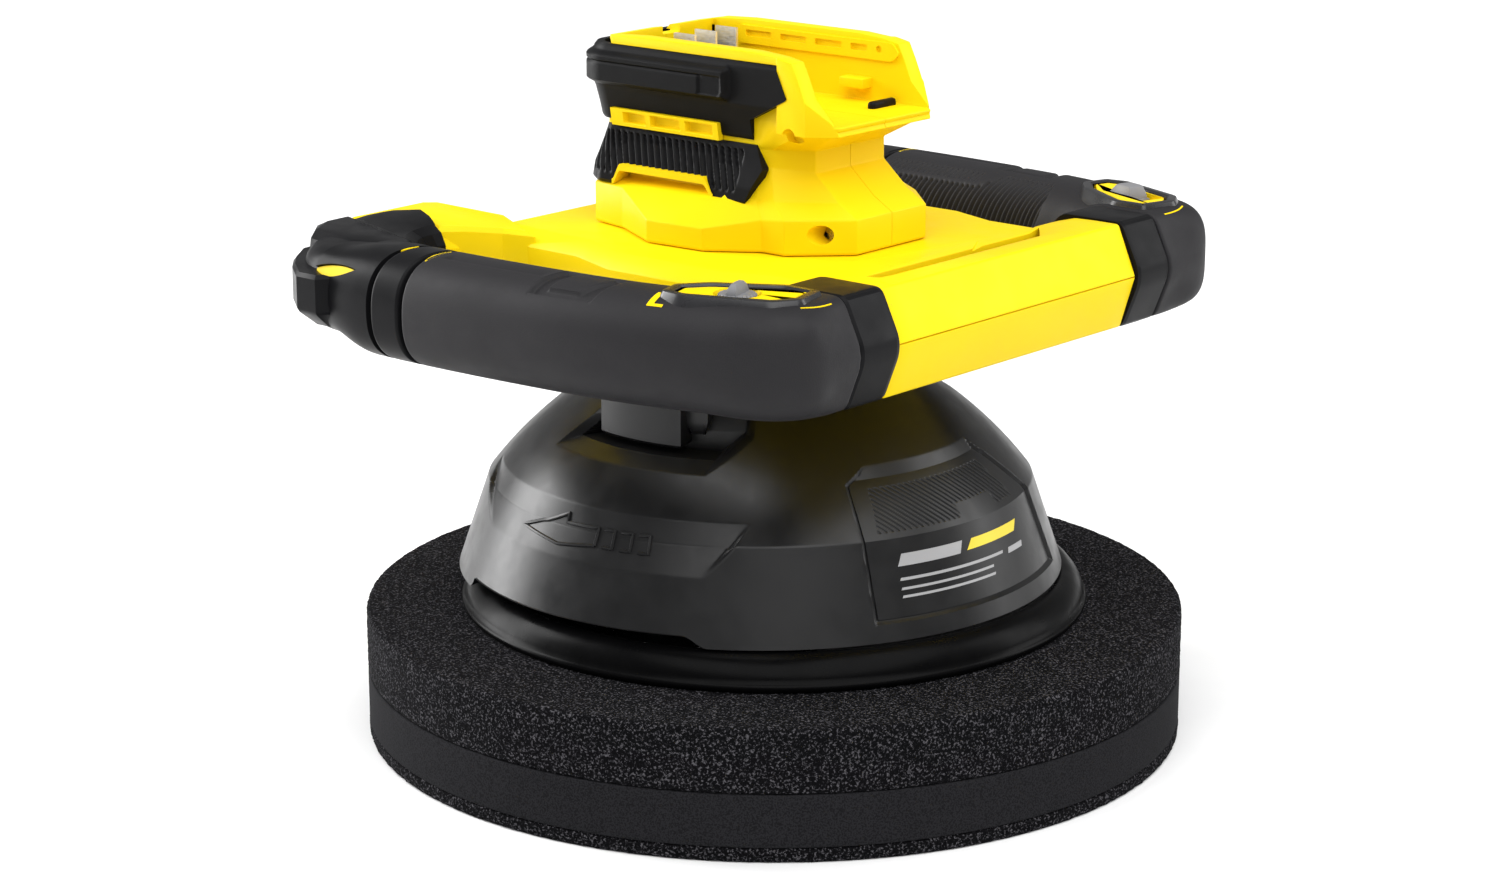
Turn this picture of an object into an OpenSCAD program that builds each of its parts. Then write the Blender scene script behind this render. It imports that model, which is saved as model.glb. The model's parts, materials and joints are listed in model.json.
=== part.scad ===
// Two-handed cordless polisher with an orbiting foam pad.
// Frame: +Z up, origin on the floor under the motor axis.
// +X is the end that the battery pack slides in from, and Y = 0 is the mirror plane.
// "right" is the -Y side and "left" is the +Y side.

/* [Pad] */
// Radius of the foam pad
pad_r = 127; // [120:1:130]
// Thickness of the whole foam pad
pad_h = 40; // [36:1:40]
// Thickness of the coarse working face
face_h = 4.5; // [3:0.5:6]
// Height of the top of the dense foam layer
dense_top = 20.4; // [16:0.1:24]
// Distance from the motor axis to the pad axis
orbit = 5.5; // [4:0.5:6]

/* [Shroud] */
// Radius of the shroud's rim
rim_r = 94; // [93:0.5:96]
// Height of the shroud's rim above the floor
rim_z = 51; // [51:0.5:53]
// Radius of the shoulder where the wall turns inward
shoulder_r = 84.4; // [83:0.2:86]
// Height of that shoulder
shoulder_z = 79.2; // [78:0.2:82]
// Radius where the dome ends below the frame
crown_r = 57.6; // [56:0.2:60]
// Height of the dome's end
crown_z = 104.8; // [104:0.2:106]

/* [Frame] */
// Height of the frame's underside
frame_low = 128.6; // [128:0.2:130]
// Height of the joint between the two frame shells
seam_z = 145; // [144:0.5:146]
// Height of the deck around the tower
deck_z = 156.5; // [156:0.5:157]
// Height of the front bar
frame_top = 160.3; // [160:0.1:161]
// Height of the rear ears
ear_top = 158.7; // [158:0.1:159]
// Distance from the motor axis to the front bar's outer face
bar_x = 99.3; // [98:0.1:100]

/* [Tower] */
// Height of the battery bay's floor
bay_floor = 195; // [194:0.5:196]
// Height of the battery bay's walls
bay_top = 215; // [214:0.5:216]
// Half width of the battery bay over its walls
bay_half = 27.5; // [27:0.5:28]

/* [Grips] */
// Half height of a grip
grip_h = 16.5; // [16:0.5:17]
// Thickness of the rubber over the handle core
rubber_t = 3; // [2:0.5:3.5]

/* [Hidden] */
$fn = 96;

wall = 2.5;          // thickness of the moulded walls
gap = 0.3;           // gap between neighbouring mouldings
slip = 0.05;         // radial clearance of a running fit

yellow = "gold";
black = [0.13, 0.13, 0.14];
rubber = [0.22, 0.22, 0.23];
foam = [0.18, 0.18, 0.19];
steel = "silver";
copper = [0.72, 0.45, 0.2];

// ---------------------------------------------------------------- helpers

// Mirrors a right-hand piece to the left when side is 1
module on_side(side) {
    mirror([0, side > 0 ? 1 : 0, 0]) children();
}

// Closed solid through a stack of outlines with equal numbers of points
module loft(rings) {
    n = len(rings[0]);
    last = len(rings) - 1;
    walls = [for (k = [0 : last - 1]) for (i = [0 : n - 1])
        [k * n + i, (k + 1) * n + i, (k + 1) * n + (i + 1) % n, k * n + (i + 1) % n]];
    polyhedron([for (ring = rings) each ring],
        concat([[for (i = [0 : n - 1]) i]], walls,
            [[for (i = [0 : n - 1]) last * n + n - 1 - i]]), convexity = 6);
}

// Tube wall through two stacks of rings, an outer one and an inner one
module tube_loft(outer, inner) {
    n = len(outer[0]);
    last = len(outer) - 1;
    off = n * (last + 1);
    skin = [for (k = [0 : last - 1]) for (i = [0 : n - 1])
        [k * n + i, (k + 1) * n + i, (k + 1) * n + (i + 1) % n, k * n + (i + 1) % n]];
    bore = [for (face = skin) [for (j = [3 : -1 : 0]) face[j] + off]];
    first_end = [for (i = [0 : n - 1])
        [i, (i + 1) % n, off + (i + 1) % n, off + i]];
    last_end = [for (i = [0 : n - 1]) let (b = last * n)
        [b + i, off + b + i, off + b + (i + 1) % n, b + (i + 1) % n]];
    polyhedron(concat([for (ring = outer) each ring], [for (ring = inner) each ring]),
        concat(skin, bore, first_end, last_end), convexity = 8);
}

// An outline in plan, set at one height
function at_height(outline, z) = [for (p = outline) [p[0], p[1], z]];

// A round bar or ring along Z
module ring(r_out, r_in, z0, z1) {
    translate([0, 0, z0]) difference() {
        cylinder(r = r_out, h = z1 - z0);
        translate([0, 0, -1]) cylinder(r = r_in, h = z1 - z0 + 2);
    }
}

// Part of a ring between two angles
module wedge(r_in, r_out, z0, z1, a0, a1) {
    rotate([0, 0, a0]) rotate_extrude(angle = a1 - a0)
        translate([r_in, z0]) square([r_out - r_in, z1 - z0]);
}

// A box given by its lowest and highest corners
module span(low, high) {
    translate(low) cube(high - low);
}

// An outline in X and Z, run from y0 to y1
module run_along_y(outline, y0, y1) {
    translate([0, y1, 0]) rotate([90, 0, 0]) linear_extrude(height = y1 - y0) polygon(outline);
}

// ---------------------------------------------------------------- foam pad

module pad_layer(z0, z1, shade) {
    color(shade) translate([orbit, 0, z0]) cylinder(r = pad_r, h = z1 - z0);
}
module foam_coarse_layer() { pad_layer(dense_top, pad_h, foam); }
module foam_dense_layer() { pad_layer(face_h, dense_top, black); }
module foam_working_face() { pad_layer(0, face_h, foam); }

// Backing plate: a dished disc with a beaded lip and a hub for the bearing
plate_lip_r = 95.8;
plate_hub_r = 15;
bearing_r = 11;
bearing_h = 7;
bearing_z = pad_h + 6;
pin_r = 4;
module backing_plate() {
    bead = 1.6;
    recess_r = 9;
    color(black) translate([orbit, 0, 0]) rotate_extrude() {
        polygon([[recess_r, pad_h], [plate_lip_r - bead, pad_h],
            [plate_lip_r - bead, pad_h + 2 * bead], [84, 48.6], [81.5, 48.6],
            [74, pad_h + 4], [plate_hub_r + 2, pad_h + 4], [plate_hub_r, pad_h + 6],
            [plate_hub_r, bearing_z + bearing_h + 1.5], [bearing_r, bearing_z + bearing_h + 1.5],
            [bearing_r, bearing_z], [recess_r, bearing_z]]);
        translate([plate_lip_r - bead, pad_h + bead]) circle(r = bead, $fn = 24);
    }
}
module pad_bearing() {
    color(steel) translate([orbit, 0, 0])
        ring(bearing_r - slip / 2, pin_r + slip, bearing_z + 0.1, bearing_z + bearing_h);
}

// ---------------------------------------------------------------- rotor

shaft_r = 3;
hub_z = [56, 66];
fan_z = [67, 74];
bracket_z = [75, 78];
can_z = [78, 136];
core_z = [92, 120];
commutator_z = [126, 132];

module rotor_shaft() {
    color(steel) translate([0, 0, hub_z[0] + 1]) cylinder(r = shaft_r, h = can_z[1] + 3 - hub_z[0]);
}
module eccentric_hub() {
    color(steel) difference() {
        union() {
            translate([0, 0, hub_z[0]]) cylinder(r = 13, h = hub_z[1] - hub_z[0]);
            translate([orbit, 0, bearing_z - 0.4])
                cylinder(r = pin_r, h = hub_z[0] - bearing_z + 1);
        }
        translate([0, 0, hub_z[0] + 1]) cylinder(r = shaft_r, h = hub_z[1] - hub_z[0]);
        translate([orbit, 0, bearing_z - 1]) cylinder(r = 1.6, h = 8);
    }
}
// Half ring opposite the eccentric pin, which balances the orbiting pad
module counterweight() {
    color(steel) difference() {
        ring(36, 13, hub_z[0] + 1.5, hub_z[1] - 1);
        span([-4, -40, 0], [40, 40, 80]);
    }
}
module pin_screw() {
    color(steel) translate([orbit, 0, 0]) {
        translate([0, 0, bearing_z - 1.9]) cylinder(r = 6.5, h = 1.5);
        translate([0, 0, bearing_z - 4.2]) cylinder(r = 4.5, h = 2.3);
        translate([0, 0, bearing_z - 1]) cylinder(r = 1.6, h = 7);
    }
}
module cooling_fan() {
    blades = 14;
    color(black) {
        ring(11, shaft_r, fan_z[0], fan_z[1]);
        ring(34, 10, fan_z[0], fan_z[0] + 1.6);
        for (k = [0 : blades - 1]) rotate([0, 0, k * 360 / blades])
            translate([13, 0, fan_z[0] + 1]) rotate([0, 0, 18])
                cube([19, 1.4, fan_z[1] - fan_z[0] - 1]);
    }
}
module armature_core() {
    slots = 12;
    color(steel) difference() {
        ring(20.8, shaft_r, core_z[0], core_z[1]);
        for (k = [0 : slots - 1]) rotate([0, 0, k * 360 / slots])
            translate([15, -1.2, core_z[0] - 1]) cube([8, 2.4, core_z[1] - core_z[0] + 2]);
    }
}
// Coil ends standing out of both faces of the armature core
module armature_windings() {
    color(copper) for (z = [core_z[0] - 5, core_z[1]])
        translate([0, 0, z]) rotate_extrude()
            polygon([[7, 0], [17, 0], [18.5, 2.5], [17, 5], [7, 5]]);
}
module commutator() {
    bars = 24;
    color(copper) difference() {
        ring(9, shaft_r, commutator_z[0], commutator_z[1]);
        for (k = [0 : bars - 1]) rotate([0, 0, k * 360 / bars])
            translate([8.2, -0.2, commutator_z[0] - 1]) cube([2, 0.4, 8]);
    }
}

// ---------------------------------------------------------------- motor

can_r = 26;
can_bore = 24.2;
lower_bearing = [9.5, 6];     // radius and width
upper_bearing = [6.5, 5];
upper_bearing_z = can_z[1] + 0.2;

module motor_can() {
    color(steel) difference() {
        translate([0, 0, can_z[0]]) cylinder(r = can_r, h = can_z[1] - can_z[0]);
        translate([0, 0, can_z[0] + 2]) cylinder(r = can_bore, h = can_z[1] - can_z[0]);
        translate([0, 0, can_z[0] - 1]) cylinder(r = 5, h = 5);
        for (k = [0 : 5]) rotate([0, 0, 30 + k * 60])
            translate([16, 0, can_z[0] - 1]) cylinder(r = 4, h = 4, $fn = 24);
        for (x = [-20, 20]) translate([x, 0, can_z[0] - 1]) cylinder(r = 2 + slip, h = 4, $fn = 24);
    }
    color(steel) ring(lower_bearing[0] + 1.5, lower_bearing[0], can_z[0] + 2, can_z[0] + 7);
}
module motor_lower_bearing() {
    color(steel) ring(lower_bearing[0], shaft_r + slip, can_z[0] + 2, can_z[0] + 2 + lower_bearing[1]);
}
module motor_magnets() {
    color([0.3, 0.3, 0.32]) difference() {
        ring(can_bore, 21.4, core_z[0] - 3, core_z[1] + 3);
        for (k = [0, 1]) rotate([0, 0, 90 + 180 * k - 25])
            translate([0, 0, 80]) rotate_extrude(angle = 50)
                translate([18, 0]) square([10, 60]);
    }
}
// Plastic cap that closes the motor's top and holds the upper bearing
module motor_end_bell() {
    color(black) difference() {
        union() {
            translate([0, 0, can_z[1]]) cylinder(r = can_r, h = 2.5);
            translate([0, 0, can_z[1]]) cylinder(r = 9, h = 6.5);
        }
        translate([0, 0, can_z[1] - 1]) cylinder(r = upper_bearing[0], h = 6.2);
        for (k = [0 : 3]) rotate([0, 0, 45 + 90 * k])
            translate([17, 0, can_z[1] - 1]) cylinder(r = 3.5, h = 5, $fn = 24);
    }
}
module motor_upper_bearing() {
    color(steel)
        ring(upper_bearing[0], shaft_r + slip, upper_bearing_z, upper_bearing_z + upper_bearing[1] - 0.2);
}
module brush_holders() {
    color("peru") for (k = [0, 1]) rotate([0, 0, 90 + 180 * k]) difference() {
        span([12, -4, commutator_z[0] - 1], [can_bore - 0.6, 4, can_z[1]]);
        span([10, -2.6, commutator_z[0]], [can_bore + 1, 2.6, commutator_z[1]]);
    }
}
module carbon_brushes() {
    color([0.2, 0.2, 0.2]) for (k = [0, 1]) rotate([0, 0, 90 + 180 * k])
        span([9.1, -2.5, commutator_z[0] + 0.1], [20, 2.5, commutator_z[1] - 0.1]);
}
// Plate under the motor, hung from the frame on four posts
post_place = 33;
module motor_bracket() {
    color(steel) difference() {
        union() {
            translate([0, 0, bracket_z[0]]) cylinder(r = 38, h = bracket_z[1] - bracket_z[0]);
            for (k = [0 : 3]) rotate([0, 0, 45 + 90 * k]) translate([post_place, 0, bracket_z[0]])
                cylinder(r = 4, h = frame_low - bracket_z[0], $fn = 32);
        }
        translate([0, 0, bracket_z[0] - 1]) cylinder(r = 12, h = 5);
        for (x = [-20, 20]) translate([x, 0, bracket_z[0] - 1]) cylinder(r = 2.1, h = 5, $fn = 24);
    }
}
module motor_screws() {
    color(steel) for (x = [-20, 20]) translate([x, 0, 0]) {
        translate([0, 0, bracket_z[0] - 0.6]) cylinder(r = 3.4, h = 0.6, $fn = 24);
        translate([0, 0, bracket_z[0]]) cylinder(r = 2, h = 4, $fn = 24);
    }
}

// ---------------------------------------------------------------- shroud

// Wall radius along the dome, an arc that bulges out of its chord
dome_bulge = 1.4;
function dome_point(t) = let (
        chord = [crown_r - shoulder_r, crown_z - shoulder_z],
        out = [chord[1], -chord[0]] / norm(chord))
    [shoulder_r, shoulder_z] + chord * t + out * dome_bulge * 4 * t * (1 - t);
dome_steps = 8;
neck_r = 44;
neck_z = 114;
function shroud_profile(inset) = concat(
    [[rim_r - inset, rim_z]],
    [for (k = [0 : dome_steps]) dome_point(k / dome_steps) - [inset, inset > 0 ? inset / 2 : 0]],
    [[neck_r - inset + 2, neck_z - inset / 2], [neck_r - inset, frame_low - gap]]);

// Solid dome out to the wall's outer face, drawn in by inset
module dome(inset) {
    rotate_extrude() polygon(concat([[0, rim_z]], shroud_profile(inset), [[0, frame_low - gap]]));
}
// Layer of the dome's wall between two depths, over a patch of angles and heights
module dome_patch(depth_out, depth_in, a0, a1, z0, z1) {
    intersection() {
        wedge(40, 110, z0, z1, a0, a1);
        difference() {
            dome(depth_out);
            dome(depth_in);
        }
    }
}

// Angles and heights of the features on the shroud, on its right-hand side
notch_a = [-112, -60];
notch_z = 95.5;
raised_rim_a = [-119, -59];
raised_rim = 3.3;
label_a = [-28, 28];
label_z = [57, 95];
label_depth = 1.2;
arrow_a = [-105, -87];
arrow_z = [74.5, 79];
relief = 0.7;

module motor_shroud() {
    color(black) {
        difference() {
            dome(0);
            dome(wall);
            translate([0, 0, rim_z - 1]) cylinder(r = rim_r - wall, h = 2);
            translate([0, 0, neck_z]) cylinder(r = neck_r - wall, h = 20);
            dome_patch(-1, label_depth, label_a[0], label_a[1], label_z[0], label_z[1]);
            for (side = [-1, 1]) on_side(side) {
                wedge(50, 80, notch_z, neck_z, notch_a[0], notch_a[1]);
                wedge(80, 100, rim_z - 1, rim_z + raised_rim, raised_rim_a[0], raised_rim_a[1]);
            }
        }
        at_shroud_screws() difference() {
            translate([0, 0, frame_low - 12]) cylinder(r = 3.8, h = 12 - gap);
            translate([0, 0, frame_low - 13]) cylinder(r = screw_r + slip, h = 20);
        }
        for (side = [-1, 1]) on_side(side) {
            exhaust_pocket();
            arrow_relief();
        }
    }
}
// Floor and inner wall behind the exhaust notch
module exhaust_pocket() {
    wedge(46, 67, notch_z - 2, notch_z, notch_a[0] - 1, notch_a[1] + 1);
    wedge(46, 48.5, notch_z - 2, neck_z, notch_a[0] - 1, notch_a[1] + 1);
}
// Raised turning-direction arrow with three dashes behind it
module arrow_relief() {
    dome_patch(-relief, 0.5, arrow_a[0] + 6, arrow_a[1], arrow_z[0], arrow_z[1]);
    dome_patch(-relief, 0.5, arrow_a[0], arrow_a[0] + 6, arrow_z[0] + 1, arrow_z[1] - 1);
    for (k = [0 : 2]) let (a = arrow_a[1] + 1 + 5 * k)
        dome_patch(-relief, 0.5, a, a + 3.6, arrow_z[0], arrow_z[1]);
}
module label_plate() {
    inset = 0.4;
    color(black) dome_patch(0.3, label_depth - 0.05, label_a[0] + inset, label_a[1] - inset,
        label_z[0] + inset, label_z[1] - inset);
}
module shroud_screws() {
    color(steel) at_shroud_screws() translate([0, 0, frame_low + wall + 0.1]) mirror([0, 0, 1])
        screw_up(10);
}

// ---------------------------------------------------------------- frame

// Deck outline on the right-hand side, from the rear to the front
deck_side = [[-66.5, -47], [-46, -49.5], [-27, -49.5], [-7, -61], [33, -61], [50, -56], [68, -56]];
deck_bevel = 4;
function both_sides(half) = concat(half, [for (k = [len(half) - 1 : -1 : 0]) [half[k][0], -half[k][1]]]);
function drawn_in(half, d) = [for (p = half) [p[0] + (p[0] < -60 ? d : 0), p[1] + d]];

// Wedge that planes off the top edge between two corners of the deck outline
module edge_bevel(a, b) {
    run = b - a;
    translate([a[0], a[1], deck_z]) rotate([0, 0, atan2(run[1], run[0])]) rotate([45, 0, 0])
        translate([0, -20, -deck_bevel / sqrt(2)]) cube([norm(run), 40, 20]);
}
// Rear ear, the corner of the frame that carries the handle
ear = [[-97.5, -49], [-93.5, -45.3], [-64, -45.3], [-50, -49], [-56, -65.7], [-97.5, -65.7]];
bar_end = 57.7;       // half length of the yellow bar
bar_in = 68;          // inner face of the bar
bar_outline = [[bar_in - 1, frame_low], [bar_x - 5.2, frame_low], [bar_x, seam_z],
    [bar_x - 6.6, frame_top], [73.5, frame_top], [71, deck_z - 1], [bar_in - 1, deck_z - 1]];
motor_hole_r = 30;
module frame_solid() {
    difference() {
        translate([0, 0, frame_low]) linear_extrude(height = deck_z - frame_low)
            polygon(both_sides(deck_side));
        for (side = [-1, 1]) on_side(side)
            for (k = [0 : len(deck_side) - 2]) edge_bevel(deck_side[k], deck_side[k + 1]);
    }
    for (side = [-1, 1]) on_side(side) translate([0, 0, frame_low + 0.1])
        linear_extrude(height = ear_top - frame_low) polygon(ear);
    run_along_y(bar_outline, -bar_end, bar_end);
}
module frame_cavity() {
    floor_z = frame_low + wall;
    translate([0, 0, floor_z]) linear_extrude(height = deck_z - wall - floor_z)
        polygon(both_sides(drawn_in(deck_side, wall + 1.5)));
    for (side = [-1, 1]) on_side(side) span([-95, -67, floor_z + 0.1], [-60, -49, ear_top - wall]);
    span([bar_in - 4, -bar_end - 1, floor_z + 0.2], [bar_x - 7.5, bar_end + 1, deck_z - wall - 1]);
    translate([0, 0, frame_low - 1]) cylinder(r = motor_hole_r, h = 20);
    translate([0, 0, seam_z]) cylinder(r = 22, h = 20);
}

// Places of the screws that join the two frame shells
frame_screw_at = [[-48, -38], [-48, 38], [58, -38], [58, 38]];
screw_r = 1.9;
module at_frame_screws() {
    for (p = frame_screw_at) translate([p[0], p[1], 0]) children();
}
module at_shroud_screws() {
    for (k = [0 : 3]) rotate([0, 0, 90 * k]) translate([38.5, 0, 0]) children();
}

module upper_frame_shell() {
    color(yellow) difference() {
        union() {
            difference() {
                frame_solid();
                frame_cavity();
            }
            at_frame_screws() translate([0, 0, seam_z - 3]) cylinder(r = 4.5, h = deck_z - seam_z + 2);
        }
        span([-120, -90, 100], [120, 90, seam_z]);
        at_frame_screws() translate([0, 0, seam_z - 1]) cylinder(r = screw_r + slip, h = 6);
    }
}
module lower_frame_shell() {
    color(yellow) difference() {
        union() {
            difference() {
                frame_solid();
                frame_cavity();
            }
            at_frame_screws() translate([0, 0, frame_low + 1])
                cylinder(r = 5, h = seam_z - frame_low);
        }
        span([-120, -90, seam_z - gap], [120, 90, 180]);
        at_frame_screws() {
            translate([0, 0, frame_low - 1]) cylinder(r = screw_head_r + 0.2, h = 7);
            translate([0, 0, frame_low - 1]) cylinder(r = screw_r + 0.2, h = 30);
        }
        at_shroud_screws() translate([0, 0, frame_low - 1]) cylinder(r = screw_r + 0.2, h = 5);
    }
}
screw_head_r = 3.4;
// Pan-head screw pointing up, with its head's underside at z = 0
module screw_up(shank) {
    translate([0, 0, -2.2]) cylinder(r = screw_head_r, h = 2.2);
    cylinder(r = screw_r, h = shank);
}
module frame_screws() {
    color(steel) at_frame_screws() translate([0, 0, frame_low + 6]) screw_up(14);
}

// ---------------------------------------------------------------- handles

// Stations round the right-hand handle: outer edge and inner edge in plan
handle = [
    [[-97.5, -60], [-57, -60]],
    [[-97.5, -74], [-60, -72]],
    [[-96, -93], [-62, -80]],
    [[-83, -114], [-58, -86]],
    [[-62, -123], [-50, -89.3]],
    [[-30, -124.6], [-30, -90.4]],
    [[8, -123], [8, -89.2]],
    [[38, -120], [36, -86.5]],
    [[66, -114], [56, -82]],
    [[88, -107], [63, -78.5]],
    [[100, -93], [65.5, -75.8]],
    [[100.2, -74.9], [66, -74.9]],
    [[100.2, -66], [66, -66]]
];
ring_sides = 20;
// Smooth curve through the stations; t counts stations
function blend4(a, b, c, d, u) = 0.5 * ((2 * b) + (c - a) * u
    + (2 * a - 5 * b + 4 * c - d) * u * u + (3 * b - a - 3 * c + d) * u * u * u);
function clamp_index(i) = max(0, min(len(handle) - 1, i));
function edge_at(t, k) = let (i = floor(t), u = t - i)
    blend4(handle[clamp_index(i - 1)][k], handle[clamp_index(i)][k],
        handle[clamp_index(i + 1)][k], handle[clamp_index(i + 2)][k], u);
function power(v, e) = sign(v) * pow(abs(v), e);
// The section is boxy at the rear corner and at the control end, and round between them
function ease(u) = let (v = max(0, min(1, u))) v * v * (3 - 2 * v);
function squareness(t) = 0.55 + 0.27 * ease(t - 3.4) * (1 - ease((t - 8) / 1.5));
// The underside of the rear corner is tucked up and in; 1 at the corner, 0 away from it
function at_corner(t) = ease((t - 0.8) / 1.2) * (1 - ease((t - 3.2) / 1.1));
corner_lift = 0.12;
corner_tuck = 0.35;
grip_z = seam_z - 0.2;
// One rounded section across the handle, drawn in by inset
function section(t, inset) = let (
        o = edge_at(t, 0), i = edge_at(t, 1), mid = (o + i) / 2,
        half = (o - i) / 2, w = norm(half), across = half / w, e = squareness(t))
    [for (k = [0 : ring_sides - 1]) let (a = -360 * k / ring_sides,
        low = at_corner(t) * max(0, -sin(a)),
        flat = across * (w - inset) * power(cos(a), e) * (cos(a) > 0 ? 1 - corner_tuck * low : 1))
        [mid[0] + flat[0], mid[1] + flat[1],
            grip_z + (grip_h - inset) * power(sin(a), e) * (1 - corner_lift * low)]];
function sweep(t0, t1, steps, inset) = [for (k = [0 : steps])
    section(t0 + (t1 - t0) * k / steps, inset)];

// Where each piece starts and ends along the handle
corner_part = [0.56, 4.6];
collar_part = [4.65, 4.97];
grip_part = [5.02, 11];
core_part = [0.56, 12];
core_t = 2.4;
function piece_of(part, steps, inset) = sweep(part[0], part[1], steps, inset);

// Space for the controls in the top of the grip's front end
tray_centre = [71, -93.5];
tray_turn = 18;
tray_half = [20, 8.5];
module in_tray(side) {
    on_side(side) translate([tray_centre[0], tray_centre[1], 0]) rotate([0, 0, tray_turn]) children();
}
module tray_space() {
    room = tray_half + [gap, gap];
    in_tray(-1) span([-room[0], -room[1], grip_z + 10.2], [room[0], room[1], 175]);
}
module grip(side) {
    color(rubber) on_side(side) difference() {
        tube_loft(piece_of(grip_part, 24, 0), piece_of(grip_part, 24, rubber_t));
        tray_space();
    }
}
module handle_core(side) {
    color(yellow) on_side(side) difference() {
        tube_loft(piece_of(core_part, 36, rubber_t + 0.1),
            piece_of(core_part, 36, rubber_t + core_t));
        tray_space();
        in_tray(-1) span([-13, -6.4, grip_z - 2], [15, 6.4, 175]);
        difference() {
            span([60, -74.9, 120], [110, -60, 175]);
            run_along_y(sleeve_outline(sleeve_hollow - 0.02), -80, -50);
        }
    }
}
// The rear corner is split by a slanting line into a cap inside and a guard outside
split_from = [-97.5, -81];
split_to = [-52, -95];
module rear_corner(outer_part) {
    run = split_to - split_from;
    difference() {
        tube_loft(piece_of(corner_part, 17, 0), piece_of(corner_part, 17, wall));
        translate([split_from[0], split_from[1], 100]) rotate([0, 0, atan2(run[1], run[0])])
            translate([-40, outer_part ? -gap / 2 : -80, 0]) cube([160, 80 - gap / 2, 80]);
    }
}
module rear_cap(side) {
    color(black) on_side(side) rear_corner(false);
}
module rear_collars() {
    color(black) for (side = [-1, 1]) on_side(side)
        tube_loft(piece_of(collar_part, 3, 0), piece_of(collar_part, 3, wall));
}
// Black collar between the yellow bar and the grip, with the bar's section
sleeve_out = [[bar_in - 1, grip_z - 12], [bar_in + 2, frame_low - 0.4], [bar_x - 5, frame_low - 0.4],
    [bar_x + 0.8, grip_z - 2], [bar_x + 0.8, grip_z + 2], [bar_x - 6, frame_top + 0.6],
    [bar_in + 3, frame_top + 0.6], [bar_in - 1, grip_z + 12]];
sleeve_mid = [83, grip_z];
sleeve_hollow = 0.88;
function sleeve_outline(share) = [for (p = sleeve_out) sleeve_mid + (p - sleeve_mid) * share];
module front_sleeve(side) {
    color(black) on_side(side) difference() {
        run_along_y(sleeve_out, -74.6, -bar_end - 0.3);
        run_along_y(sleeve_outline(sleeve_hollow), -80, -50);
    }
}
// Stepped bumper that guards the rear corner, with a lens-shaped window
lug_out = [[-96.5, -92], [-95.5, -102], [-88, -112], [-81.5, -118.5], [-71, -126.5], [-63, -126.5],
    [-60, -123.5], [-62, -104], [-80, -92]];
lug_z = [141, 153.5];
lug_step = 136.5;
window_z = 149;
window_r = 18;
module window_shape(extra, z) {
    translate([-72.5, -119, z]) rotate([0, 0, -34]) intersection() {
        translate([0, 12, 0]) cylinder(r = window_r + extra, h = 20);
        translate([0, -12, 0]) cylinder(r = window_r + extra, h = 20);
    }
}
module lug_body(z0, z1) {
    translate([0, 0, z0]) linear_extrude(height = z1 - z0) polygon(lug_out);
}
lug_low = [[-92, -92], [-90, -101], [-84, -109], [-78, -115], [-70, -121], [-66, -121],
    [-66, -104], [-80, -92]];
module corner_guard(side) {
    color(black) on_side(side) {
        rear_corner(true);
        difference() {
            union() {
                lug_body(lug_z[0], lug_z[1]);
                translate([0, 0, lug_step]) linear_extrude(height = lug_z[0] - lug_step + 1)
                    polygon(lug_low);
            }
            loft(sweep(1, corner_part[1], 16, 0.5));
            window_shape(0, window_z);
        }
    }
}
module guard_inserts() {
    color(yellow) for (side = [-1, 1]) on_side(side) difference() {
        intersection() {
            window_shape(-0.15, window_z + 0.1);
            lug_body(lug_z[0], lug_z[1] - 2.5);
        }
        loft(sweep(1, 4.6, 16, -0.1));
    }
}

// ---------------------------------------------------------------- controls

tray_z = grip_z + 11;
bezel_top = frame_top + 2.2;
module bezel(side) {
    color(black) in_tray(side) difference() {
        span([-tray_half[0], -tray_half[1], tray_z + 1.2], [tray_half[0], tray_half[1], bezel_top]);
        span([-16.5, -6, tray_z - 1], [16.5, 6, bezel_top + 1]);
    }
}
module control_tray(side) {
    color(yellow) in_tray(side) difference() {
        span([-tray_half[0], -tray_half[1], tray_z], [tray_half[0], tray_half[1], tray_z + 1]);
        translate([0, 0, tray_z - 1]) cylinder(r = 2.2, h = 4);
        if (side > 0) span([-3, -2, tray_z - 1], [9, 2, tray_z + 3]);
    }
}
dial_r = 5.4;
module speed_dial() {
    color([0.5, 0.5, 0.5]) in_tray(-1) {
        translate([0, 0, tray_z + 1.3]) cylinder(r = dial_r, h = 2.4);
        span([-1.6, -dial_r + 0.4, tray_z + 3.6], [1.6, dial_r - 0.4, bezel_top + 1.6]);
        translate([0, 0, tray_z - 4]) cylinder(r = 2, h = 6, $fn = 48);
    }
}
module dial_potentiometer() {
    color([0.2, 0.3, 0.5]) in_tray(-1) difference() {
        span([-6, -5.5, tray_z - 7], [6, 5.5, tray_z - 1]);
        translate([0, 0, tray_z - 4.5]) cylinder(r = 2 + slip, h = 8, $fn = 48);
    }
}
slide_travel = 6;
module power_slider() {
    color([0.5, 0.5, 0.5]) in_tray(1) {
        span([-6.5, -3.2, tray_z + 1.3], [6.5, 3.2, tray_z + 3.2]);
        span([-4.5, -2.2, tray_z + 3.2], [4.5, 2.2, bezel_top]);
        span([-1.5, -1.4, tray_z - 2.5], [1.5, 1.4, tray_z + 2]);
    }
}
module power_switch_body() {
    color(black) in_tray(1) difference() {
        span([-10, -5, tray_z - 9], [12, 5, tray_z - 0.6]);
        span([-3, -2, tray_z - 3], [9, 2, tray_z + 1]);
    }
}

// ---------------------------------------------------------------- tower

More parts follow.
